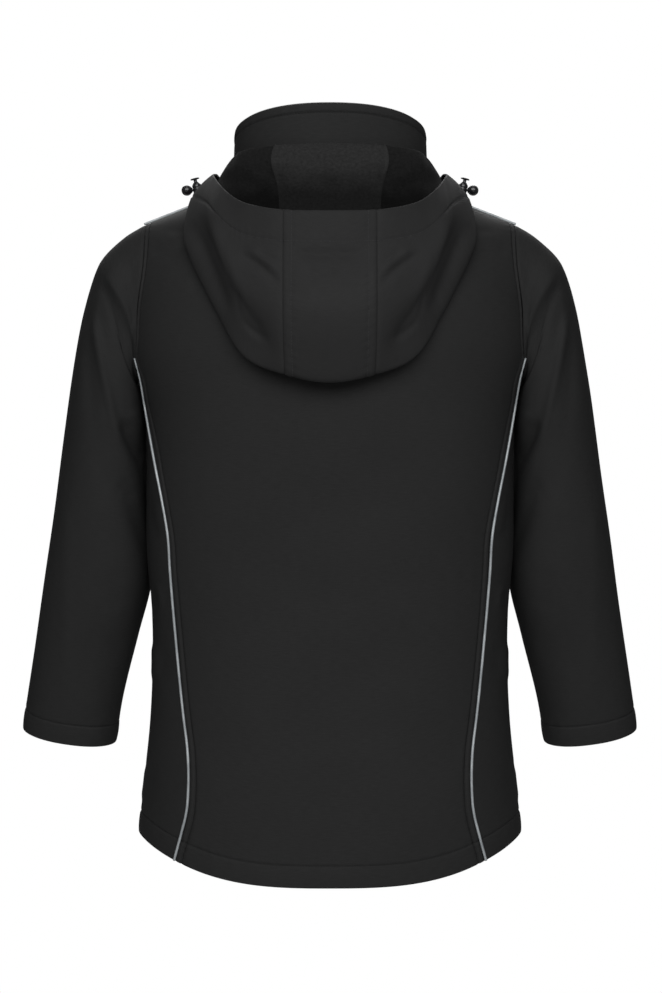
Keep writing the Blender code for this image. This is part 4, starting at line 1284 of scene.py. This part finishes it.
def cloth_piece(
    node,
    shell,
    materials=(SHELL, FLEECE),
    rounded=EDGE_ROUND,
    slot="shell_cloth",
    mirror=False,
    width=np.max,
):
    """Make a shell the piece that stands for its node, and work out how large it was cut, which goes no
    further; width is of its rows.
    """
    if mirror:
        shell.base = mirrored(shell.base)
        shell.normal = mirrored(shell.normal)
    shell.finish()
    name = f"cloth_{node}"
    item = place_piece(name, shell_mesh(name, shell, rounded), materials, node, slot)
    ring = shell.outside
    if shell.closed:
        ring = np.concatenate([ring, ring[:, :1]], axis=1)
    flat = (width(arc(ring, 1)[:, -1]) * MM, arc(ring, 0)[-1].max() * MM)


def copies(name, template, faces, places, ways, normals, materials, **kind):
    """One joined mesh of many copies of a small body, each set on a place along a way, facing a normal."""
    side = unit(np.cross(normals, ways))
    lift = np.cross(ways, side)
    template = np.asarray(template)
    vertices = (
        places[:, None]
        + template[None, :, 0:1] * ways[:, None]
        + template[None, :, 1:2] * side[:, None]
        + template[None, :, 2:3] * lift[:, None]
    )
    joined = []
    for number in range(len(places)):
        joined += [[i + number * len(template) for i in face] for face in faces]
    place_piece(name, mesh_from(name, vertices.reshape(-1, 3), joined), materials, **kind)


def capsule(rings, sides):
    """A small closed body along X from rings of place, radius and lift."""
    turns = 2 * np.pi * np.arange(sides) / sides
    vertices = [(x, r * math.cos(t), z + r * math.sin(t)) for x, r, z in rings for t in turns]
    faces = [list(range(sides))[::-1]]
    for ring in range(len(rings) - 1):
        for i in range(sides):
            j = (i + 1) % sides
            faces.append([ring * sides + i, ring * sides + j, (ring + 1) * sides + j, (ring + 1) * sides + i])
    faces.append([(len(rings) - 1) * sides + i for i in range(sides)])
    return vertices, [face[::-1] for face in faces]


def stitches(name, lines, thread=THREAD_AND_PAINTED_SHADE):
    """Stitches along lines of points and normals, as one piece."""
    rings = [(x * STITCH_LENGTH, r * STITCH_RADIUS, z * STITCH_RADIUS) for x, r, z in STITCH_RINGS]
    template, faces = capsule(rings, STITCH_SIDES)
    places, ways, normals = [], [], []
    for line, facing in lines:
        length = lengths(line)
        at = np.arange(STITCH_PITCH / 2, length[-1], STITCH_PITCH)
        before, here, ahead = [points_at(length, line, at + past, straight) for past in (-NEARBY, 0, NEARBY)]
        places.append(here)
        ways.append(unit(ahead - before))
        normals.append(unit(points_at(length, facing, at, straight)))
    joined = [np.concatenate(values) for values in (places, ways, normals)]
    copies(name, template, faces, *joined, [thread])


def tube_mesh(name, line, radius, sides):
    """A closed round tube along a line; the radius may vary along it and round it."""
    way = unit(np.gradient(line, axis=0))
    side = np.cross(way, np.array([0, 1, 0]))
    near = np.linalg.norm(side, axis=-1, keepdims=True) < NEARLY_ALONG
    side = unit(np.where(near, np.cross(way, [1, 0, 0]), side))
    lift = np.cross(side, way)
    turn = 2 * np.pi * np.arange(sides) / sides
    radius = np.broadcast_to(radius, (len(line), sides))[..., None]
    ring = np.cos(turn)[None, :, None] * side[:, None] + np.sin(turn)[None, :, None] * lift[:, None]
    vertices = (line[:, None] + ring * radius).reshape(-1, 3)
    faces = []
    for row in range(len(line) - 1):
        for i in range(sides):
            j = (i + 1) % sides
            faces.append([row * sides + i, (row + 1) * sides + i, (row + 1) * sides + j, row * sides + j])
    faces.append(list(range(sides)))
    faces.append([(len(line) - 1) * sides + i for i in range(sides)][::-1])
    mesh = mesh_from(name, vertices, [face[::-1] for face in faces])
    body = bmesh.new()
    body.from_mesh(mesh)
    bmesh.ops.recalc_face_normals(body, faces=body.faces)
    body.to_mesh(mesh)
    body.free()
    return mesh


# Camera


def make_camera():
    lens = bpy.data.cameras.new("camera")
    lens.lens = CAMERA_LENS
    lens.shift_x = CAMERA_SHIFT
    item = bpy.data.objects.new("camera", lens)
    item.location = CAMERA_PLACE
    item.rotation_euler = (math.pi / 2, 0, math.pi)
    bpy.context.scene.collection.objects.link(item)
    bpy.context.scene.camera = item


# Drawcord and its fittings


def eyelet_seat():
    """Where the left eyelet sits on the hood's casing, and the way it faces."""
    grid = hood(EYELET_STATION + np.array([-SEAT_STEP, 0, SEAT_STEP]), [SEAT_ROWS] * len(HOOD_ROWS))
    row = int(round(EYELET_RISE * (len(grid) - 1)))
    normal = grid_normals(grid)[row, 1]
    return grid[row, 1] + normal * (HOOD_CLOTH + EYELET_LIFT), normal


def cord_line():
    """The left cord's free end: straight out of the eyelet, through the lock and into its ball."""
    start, normal = eyelet_seat()
    lock = np.array(LOCK_PLACE)
    through = np.array([1, 0, 0])
    end = np.array(BALL_PLACE) - through * (BALL_RADIUS + SEAM_GAP)
    marks = [start, start + normal * CORD_RISE]
    marks += [lock + through * way for way in CORD_THROUGH_LOCK]
    marks = np.array(marks + [end])
    keys = lengths(marks)
    line = points_at(keys, marks, np.linspace(0, keys[-1], CORD_POINTS))
    return np.concatenate([line, [end + through * CORD_INTO_BALL]])


def make_cords(carried):
    """The drawcord's free ends: braided cord."""
    for side, mirror in SIDES:
        line = cord_line()
        if mirror:
            line = mirrored(line)
        length = lengths(line)
        strands = BRAID_STRANDS * (2 * np.pi * np.arange(CORD_SIDES) / CORD_SIDES)[None]
        twist = length[:, None] * BRAID_TWIST
        braid = np.sin(strands + twist) * np.sin(strands - twist)
        name = f"cord_{side}"
        mesh = tube_mesh(name, line, CORD_RADIUS * (1 + BRAID_DEPTH * braid), CORD_SIDES)
        cord = place_piece(name, mesh, [YARN], f"hood_cord_{side}", "cord_yarn")


# Body cloth


def body_shell(base, *folds):
    """A cut piece of the body: its cloth uneven, folded and hemmed."""
    shell = Shell(base, outward_normals(base))
    shell.sway(*BODY_SWAY)
    shell.folds(*folds)
    shell.stitched("low", HEM_DEPTH, HEM_PUFF, HEM_THICKER)
    return shell


def make_body():
    """Centre back, side backs and fronts, and their sewing."""
    lines = []
    torso_length = JOIN_Z - SIDE_HEM_Z + BACK_HEM_DROP
    rises = spread(TORSO_ROWS, torso_length, HEM_FINE)
    steps = np.linspace(JOIN_STEP, 0, ARMHOLE_ROWS + 1)[1:]
    half = 1 - spread(CENTRE_COLUMNS, *BACK_SPREAD)[::-1]
    across = np.concatenate([-half[:0:-1], half])
    base = back_centre(across, rises, steps, 0)
    shell = body_shell(base, BACK_FOLDS, 1)
    heights = base[:, 0, 2]
    below = 1 - ease(heights, *(JOIN_Z + past for past in PRINCESS_CHANGE))
    off = PRINCESS_OFF * hump(heights - PRINCESS_OFF_Z, PRINCESS_OFF_REACH)
    distance = ARMHOLE_STITCH + (PRINCESS_STITCH + off - ARMHOLE_STITCH) * below
    for edge in ("start", "end"):
        shell.stitched(edge, distance[:, None], dip=PRINCESS_DIP)
        shell.seam(edge)
    shell.seam("high", EDGE_DIP)
    cloth_piece("back_centre", shell)
    lines += [shell.line("low", HEM_DEPTH), shell.line("start", distance), shell.line("end", distance)]
    for side, mirror in SIDES:
        base = back_side(spread(SIDE_COLUMNS, *SIDE_SPREAD), rises, 0)
        shell = body_shell(base, SIDE_FOLDS, 1, SIDE_FACING)
        for edge in ("start", "end"):
            shell.seam(edge)
        shell.fade("high", SIDE_FADE)
        cloth_piece(f"back_side_{side}", shell, mirror=mirror)
        lines.append(shell.line("low", HEM_DEPTH))
        front_steps = np.linspace(UNDERARM_STEP, ARM_STEPS, FRONT_ARMHOLE_ROWS + 1)[1:]
        base = front(spread(FRONT_COLUMNS, *FRONT_SPREAD), rises, front_steps, 0)
        shell = body_shell(base, FRONT_FOLDS, -1)
        shell.stitched("start", ZIP_STITCH)
        arm_rows = base[:, 0, 2] > UNDERARM_Z
        shell.seam("end")
        shell.seam("high", EDGE_DIP)
        cloth_piece(f"front_{side}", shell, mirror=mirror)
        lines += [shell.line("low", HEM_DEPTH), shell.line("start", ZIP_STITCH)]
        edge_line, edge_normal = shell.line("end", ARMHOLE_STITCH)
        lines.append((edge_line[arm_rows], edge_normal[arm_rows]))
    stitches("stitches_body", lines)


def make_sleeves():
    """The sleeves, pressed towards the body under the arm, and the sewing of their cuffs."""
    lines = []
    steps = ARM_STEPS * np.arange(SLEEVE_COLUMNS) / SLEEVE_COLUMNS
    shares = 1 - spread(SLEEVE_ROWS, *SLEEVE_SPREAD)[::-1]
    shares = np.unique(np.concatenate([shares, np.linspace(0, SLEEVE_HEAD_SHARE, SLEEVE_HEAD_ROWS)]))
    for side, mirror in SIDES:
        base = sleeve(shares, steps)
        shell = Shell(base, tube_normals(base), closed=True)
        if mirror:
            shell.base = mirrored(shell.base)
        shell.sway(*SLEEVE_SWAY)
        shell.folds(SLEEVE_BACK_FOLDS, 1)
        shell.folds(SLEEVE_FRONT_FOLDS, -1)
        shell.fade("low", SLEEVE_FADE)
        if mirror:
            shell.base = mirrored(shell.base)
        shell.seam("low", EDGE_DIP)
        near_body = ease(-shell.normal[..., 0], *PRESS_FACING)
        shell.push += PRESS * near_body * hump(base[..., 2] - PRESS_Z, PRESS_REACH)
        shell.stitched("high", CUFF_DEPTH, HEM_PUFF, HEM_THICKER)
        cloth_piece(f"sleeve_{side}", shell, mirror=mirror)
        place, facing = shell.line("high", CUFF_DEPTH)
        lines.append((np.concatenate([place, place[:1]]), np.concatenate([facing, facing[:1]])))
    stitches("stitches_cuffs", lines)


def make_collar():
    turns = np.linspace(COLLAR_END, 2 * np.pi - COLLAR_END, COLLAR_COLUMNS)
    rises = spread(COLLAR_RISES, *COLLAR_SPREAD)
    base = collar(turns, rises, 0)
    shell = Shell(base, outward_normals(base), COLLAR_CLOTH)
    shell.sway(*COLLAR_SWAY)
    shell.stitched("high", COLLAR_STITCH, COLLAR_PUFF)
    for edge in ("start", "end"):
        shell.stitched(edge, ZIP_STITCH)
    cloth_piece("collar", shell, rounded=THICK_EDGE_ROUND)
    ends = [shell.line("start", ZIP_STITCH), shell.line("end", ZIP_STITCH)]
    stitches("stitches_collar", [shell.line("high", COLLAR_STITCH)] + ends)


def make_hood():
    """The hood's three panels, cut from one grid so that their seams meet."""
    last = len(HOOD_STATIONS) - 1
    centre = np.linspace(0, HOOD_SEAM_STATION, HOOD_CENTRE_COLUMNS // 2 + 1)
    side = np.linspace(HOOD_SEAM_STATION, last, HOOD_SIDE_COLUMNS + 1)[1:]
    close = HOOD_SEAM_STATION + np.array(HOOD_CLOSE)
    half = hood(np.concatenate([centre, close, side]), HOOD_ROWS)
    fleece = np.concatenate([mirrored(half[:, :0:-1]), half], axis=1)
    normal = grid_normals(fleece)
    shell_side = fleece + normal * HOOD_CLOTH
    count = fleece.shape[1]
    first = HOOD_SIDE_COLUMNS + len(close)
    spans = (
        ("hood_side_right", 0, first + 1, ("end",)),
        ("hood_centre", first, count - first, ("start", "end")),
        ("hood_side_left", count - first - 1, count, ("start",)),
    )
    lines = []
    for node, start, end, edges in spans:
        shell = Shell(shell_side[:, start:end], normal[:, start:end], HOOD_CLOTH)
        shell.folds(HOOD_FOLDS, 1, HOOD_FACING)
        shell.folds(FLEECE_FOLDS, -1, HOOD_FACING)
        shell.fade("low", HOOD_FADE)
        shell.stitched("high", CASING_DEPTH, CASING_PUFF, CASING_THICKER)
        for edge in edges:
            shell.seam(edge, HOOD_SEAM_DIP)
            if node == "hood_centre":
                shell.stitched(edge, HOOD_STITCH, HOOD_PUFF)
        width = np.max if node == "hood_centre" else np.mean
        # The hood takes the painted-light copy of the shell and the painted-shade copies of the fleece
        materials = [HOOD_SHELL_PAINTED_LIGHT, HOOD_FLEECE_PAINTED_SHADE if node == "hood_centre" else SIDE_FLEECE_PAINTED_SHADE]
        cloth_piece(
            node, shell, materials, THICK_EDGE_ROUND, "hood_cloth", width=width
        )
        lines.append(shell.line("high", CASING_DEPTH))
        if node == "hood_centre":
            lines += [shell.line(edge, HOOD_STITCH) for edge in edges]
    stitches("stitches_hood", lines, HOOD_THREAD_PAINTED_HIGHLIGHT)


# Piping


def make_piping():
    out = -(PIPING_RADIUS + SEAM_GAP - PIPING_SINK)
    for side, mirror in SIDES:
        seam = back_centre([1], np.linspace(0, 1, PIPING_POINTS), [], out)[:, 0]
        shoulder = back_centre(np.linspace(SHOULDER_START, 1, SHOULDER_POINTS), [], [0], out)[0]
        pinch = 1 - PIPING_PINCH * hump(seam[:, 2] - PIPING_PINCH_Z, PIPING_PINCH_REACH)
        pinch *= 1 - PIPING_TAPER * ease(seam[:, 2], *PIPING_TAPER_Z)
        for kind, line, radius in (("back", seam, pinch), ("shoulder", shoulder, np.ones(len(shoulder)))):
            if mirror:
                line = mirrored(line)
            name = f"piping_{kind}_{side}"
            mesh = tube_mesh(f"trim_{name}", line, PIPING_RADIUS * radius[:, None], PIPING_SIDES)
            place_piece(f"trim_{name}", mesh, [PIPING], name, "reflective_piping")


# Fittings


def softened(profile, size):
    """A profile with its corners rounded; its two ends stay."""
    profile = np.asarray(profile, float)
    line = [profile[0]]
    for before, here, after in zip(profile, profile[1:], profile[2:]):
        ways = (before - here, after - here)
        start, end = [here + way * min(CORNER_SHARE, size / np.linalg.norm(way)) for way in ways]
        for share in np.linspace(0, 1, CORNER_STEPS + 1):
            line.append((1 - share) ** 2 * start + 2 * share * (1 - share) * here + share**2 * end)
    return np.array(line + [profile[-1]])


def finished(name, body):
    bmesh.ops.recalc_face_normals(body, faces=body.faces)
    mesh = bpy.data.meshes.new(name)
    body.to_mesh(mesh)
    body.free()
    return mesh


def turned(name, profile, closed=False):
    """A body turned about Z from a profile of radius and height, top to bottom."""
    body = bmesh.new()
    line = [body.verts.new((radius, 0, height)) for radius, height in profile]
    pairs = list(zip(line, line[1:]))
    if closed:
        pairs.append((line[-1], line[0]))
    edges = [body.edges.new(pair) for pair in pairs]
    bmesh.ops.spin(
        body,
        geom=line + edges,
        cent=(0, 0, 0),
        axis=(0, 0, 1),
        angle=2 * math.pi,
        steps=ROUND_SIDES,
        use_merge=True,
    )
    bmesh.ops.remove_doubles(body, verts=body.verts, dist=MERGE_DISTANCE)
    return finished(name, body)


def round_edges(body, edges, size):
    bmesh.ops.bevel(
        body, geom=edges, offset=size, segments=BEVEL_STEPS, profile=ROUND_PROFILE, affect="EDGES"
    )


def block(name, size, centre, edge=0.0):
    """A box with rounded edges."""
    body = bmesh.new()
    bmesh.ops.create_cube(body, size=1)
    bmesh.ops.scale(body, vec=Vector(size), verts=body.verts)
    if edge:
        round_edges(body, body.edges[:], edge)
    bmesh.ops.translate(body, vec=Vector(centre), verts=body.verts)
    return finished(name, body)


def slab(name, outline, thickness, edge):
    """A flat body with rounded edges, from an outline of x and height."""
    body = bmesh.new()
    face = body.faces.new([body.verts.new((x, -thickness / 2, z)) for x, z in outline])
    moved = bmesh.ops.extrude_face_region(body, geom=[face])["geom"]
    far = [part for part in moved if isinstance(part, bmesh.types.BMVert)]
    bmesh.ops.translate(body, vec=(0, thickness, 0), verts=far)
    rim = [side for side in body.edges if abs(side.verts[0].co.y - side.verts[1].co.y) < LEVEL]
    round_edges(body, rim, edge)
    return finished(name, body)


def both_sides(half):
    """A closed outline from its left half, top to bottom."""
    return list(half) + [(-x, z) for x, z in reversed(half)]


def combined(mesh, other, operation, place=Matrix()):
    """A mesh with another, set at a place, cut out of it or joined on."""
    pair = [bpy.data.objects.new("work", part) for part in (mesh, other)]
    for item in pair:
        bpy.context.scene.collection.objects.link(item)
    pair[1].matrix_world = place
    change = pair[0].modifiers.new("change", "BOOLEAN")
    change.operation = operation
    change.object = pair[1]
    bpy.context.view_layer.update()
    made = bpy.data.meshes.new_from_object(pair[0].evaluated_get(bpy.context.evaluated_depsgraph_get()))
    for item in pair:
        bpy.data.objects.remove(item, do_unlink=True)
    return made


def hard_piece(node, mesh, place, made, slot, body="jacket"):
    """A fitting, set at a place, that stands for a node."""
    mesh = mesh.copy()
    mesh.transform(Matrix.Scale(MM, 4) @ place)
    if place.determinant() < 0:
        mesh.flip_normals()
    mesh.materials.clear()
    mesh.shade_smooth()
    mesh.set_sharp_from_angle(angle=math.radians(HARD_SHARP))
    return place_piece(f"fitting_{node}", mesh, [made], node, slot, body)


def ball_profile():
    """A ball with a fine groove round it and a short neck at its foot, where the cord goes in."""
    turns = np.linspace(0, np.pi - math.asin(BALL_NECK_ROOT / BALL_RADIUS), BALL_STEPS + 1)
    radius = BALL_RADIUS - BALL_GROOVE * hump(turns - np.pi / 2, BALL_GROOVE_REACH)
    line = [(r * math.sin(t), r * math.cos(t)) for r, t in zip(radius, turns)]
    mouth, rim = BALL_NECK[-1]
    floor = rim + BALL_MOUTH_DEPTH
    return line + list(BALL_NECK) + [(mouth, floor), (0, floor)]


def eyelet_profile():
    half = EYELET_THICKNESS / 2
    upper = ((EYELET_INNER, half), (EYELET_OUTER - half, half))
    lower = ((EYELET_OUTER, -half), (EYELET_INNER, -half))
    return softened(upper + lower + upper, EYELET_CORNER)[1:-1]


def make_drawcord_fittings():
    """Cord locks with their plungers, balls and eyelets; what the cord of each side carries."""
    lock = turned("lock", softened(LOCK_PROFILE, LOCK_CORNER))
    for cutter in (LOCK_BORE, LOCK_MOUTH):
        lock = combined(lock, turned("cutter", cutter), "DIFFERENCE")
    level = Matrix.Rotation(math.radians(90 - LOCK_LEAN), 4, "Y")
    lock = combined(lock, turned("cutter", LOCK_CROSS), "DIFFERENCE", level)
    plunger = turned("plunger", softened(PLUNGER_PROFILE, PLUNGER_CORNER))
    plunger = combined(plunger, block("slot", PLUNGER_SLOT, (0, 0, PLUNGER_SLOT_Z)), "DIFFERENCE")
    ball = turned("ball", ball_profile())
    eyelet = turned("eyelet", eyelet_profile(), closed=True)
    seat, facing = eyelet_seat()
    lean = Vector((0, 0, 1)).rotation_difference(Vector(facing)).to_matrix().to_4x4()
    stand = Matrix.Translation(LOCK_PLACE) @ Matrix.Rotation(math.radians(LOCK_LEAN), 4, "Y")
    hung = Matrix.Translation(BALL_PLACE) @ Matrix.Rotation(math.pi / 2, 4, "Y")
    sewn = Matrix.Translation(seat + facing * EYELET_THICKNESS / 2) @ lean
    carried = {}
    for side, mirror in SIDES:
        flip = Matrix.Diagonal((-1 if mirror else 1, 1, 1, 1))
        carried[side] = [
            hard_piece(f"cord_lock_{side}", lock, flip @ stand, PLASTIC, "cord_plastic"),
            hard_piece(
                f"cord_lock_plunger_{side}", plunger, flip @ stand, PLASTIC, "cord_plastic", f"plunger_{side}"
            ),
            hard_piece(f"cord_end_{side}", ball, flip @ hung, PLASTIC, "cord_plastic"),
        ]
        hard_piece(f"eyelet_{side}", eyelet, flip @ sewn, METAL, "zip_metal")
    return carried


def zip_line():
    """The middle front on the outside of the tapes, from the hem to the top of the collar."""
    steps = np.arange(UNDERARM_STEP + 1, ARM_STEPS + 1)
    low = front([0], np.linspace(0, 1, TAPE_RISES), steps, TAPE_DEPTH)[:, 0]
    high = collar([COLLAR_END], np.linspace(0, 1, TAPE_COLLAR_ROWS + 1), TAPE_DEPTH)[:, 0]
    line = np.concatenate([low[:-1], high])
    line[:, 0] = 0
    return line


def make_teeth(line):
    """Two rows of teeth that mesh below the slider and part above it."""
    template, faces = capsule(TOOTH_RINGS, TOOTH_SIDES)
    length = lengths(line)
    for row, (side, mirror) in enumerate(SIDES):
        at = np.arange((1 + row) * TOOTH_PITCH / 2, length[-1] - TOOTH_PITCH, TOOTH_PITCH)
        places, nearby = [points_at(length, line, at + past, straight) for past in (0, NEARBY)]
        sign = -1 if mirror else 1
        ways = np.zeros(places.shape)
        ways[:, 0] = sign
        normals = np.cross(unit(nearby - places), [-1, 0, 0])
        clear = np.abs(places[:, 2] - SLIDER_Z) > SLIDER_HEIGHT / 2 + TOOTH_PITCH / 2
        places[:, 0] = sign * TOOTH_PARTED * (places[:, 2] > SLIDER_Z)
        chosen = [values[clear] for values in (places, ways, normals)]
        copies(f"zip_teeth_{side}", template, faces, *chosen, [METAL], slot="zip_metal")


def arch_outline(reach):
    """The slider's arch by depth and height: its outer line down, then its inner line back up."""
    half = ARCH_BAR / 2
    outer = ARCH_HALF_SPAN + half
    inner = ARCH_HALF_SPAN - half
    out = [(-half, outer), (reach - half, outer), (reach + half, outer - ARCH_BAR)]
    back = [(reach - half, inner - half), (reach - ARCH_BAR, inner), (-half, inner)]
    below = [[(depth, -height) for depth, height in reversed(line)] for line in (out, back)]
    return out + below[0] + below[1] + back


def make_zip():
    """The slider with its arch, its pull tab and the teeth; the tapes stay as they are."""
    line = zip_line()
    make_teeth(line)
    upper = line[-TAPE_COLLAR_ROWS - 1 :]
    ends = SLIDER_Z + np.array([-0.5, 0.5]) * SLIDER_HEIGHT
    plate_front = np.interp(ends, upper[:, 2], upper[:, 1]).min() - SEAM_GAP - SLIDER_PLATE
    reach = PIN_STAND + TAB_THICKNESS / 2 + SEAM_GAP + ARCH_BAR / 2
    arch = slab("arch", arch_outline(reach), ARCH_WIDTH, ARCH_EDGE)
    slider = slab("slider", both_sides(SLIDER_OUTLINE), SLIDER_PLATE, SLIDER_EDGE)
    turn = Matrix.Translation((0, -SLIDER_PLATE / 2, 0)) @ Matrix.Rotation(-math.pi / 2, 4, "Z")
    slider = combined(slider, arch, "UNION", turn)
    place = Matrix.Translation((0, plate_front + SLIDER_PLATE / 2, SLIDER_Z))
    hard_piece("zip_slider", slider, place, METAL, "zip_metal")
    tab = slab("tab", both_sides(TAB_OUTLINE), TAB_THICKNESS, TAB_EDGE)
    tab = combined(tab, block("hole", TAB_HOLE, (0, 0, TAB_HOLE_Z), TAB_HOLE_EDGE), "DIFFERENCE")
    for height in TAB_RIBS:
        tab = combined(tab, block("rib", TAB_RIB, (0, 0, height), TAB_EDGE), "UNION")
    pin = Matrix.Translation((0, plate_front - PIN_STAND, SLIDER_Z))
    hard_piece("zip_pull_tab", tab, pin, METAL, "zip_metal", "pull_tab")
    for side, _ in SIDES:
        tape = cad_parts[f"zip_tape_{side}"]
        tape.data.materials.clear()
        tape.data.materials.append(TAPE)


# Stage and light


def make_stage():
    mesh = bpy.data.meshes.new("floor")
    body = bmesh.new()
    bmesh.ops.create_circle(body, cap_ends=True, segments=FLOOR_SIDES, radius=FLOOR_RADIUS)
    body.to_mesh(mesh)
    body.free()
    floor = bpy.data.objects.new("floor", mesh)
    floor.location = (0, 0, FLOOR_Z)
    bpy.context.scene.collection.objects.link(floor)
    made, _, _ = new_material("floor", FLOOR_COLOUR, roughness=0.7, specular=0.2)
    mesh.materials.append(made)


def area_light(name, place, width, height, power):
    lamp = bpy.data.lights.new(name, "AREA")
    lamp.shape = "ELLIPSE"
    lamp.size = width
    lamp.size_y = height
    lamp.energy = power
    item = bpy.data.objects.new(name, lamp)
    item.location = place
    aim = Vector(LIGHT_TARGET) - Vector(place)
    item.rotation_euler = aim.to_track_quat("-Z", "Y").to_euler()
    bpy.context.scene.collection.objects.link(item)


def make_light():
    """A white backdrop, low light all round and large soft lights."""
    world = bpy.data.worlds.new("studio")
    world.use_nodes = True
    tree = world.node_tree
    tree.nodes.clear()
    white = {"Color": (1, 1, 1, 1)}
    seen = added(tree, "Background", {**white, "Strength": 1})
    lit = added(tree, "Background", {**white, "Strength": WORLD_LIGHT})
    rays = added(tree, "LightPath").outputs["Is Camera Ray"]
    mix = added(tree, "MixShader", sources={0: rays, 1: lit.outputs[0], 2: seen.outputs[0]})
    added(tree, "OutputWorld", sources={"Surface": mix.outputs[0]})
    bpy.context.scene.world = world
    bpy.context.scene.view_settings.view_transform = "Standard"
    for light in LIGHTS:
        area_light(*light)


make_camera()
make_cords(make_drawcord_fittings())
make_body()
make_sleeves()
make_collar()
make_hood()
make_piping()
make_zip()
make_stage()
make_light()
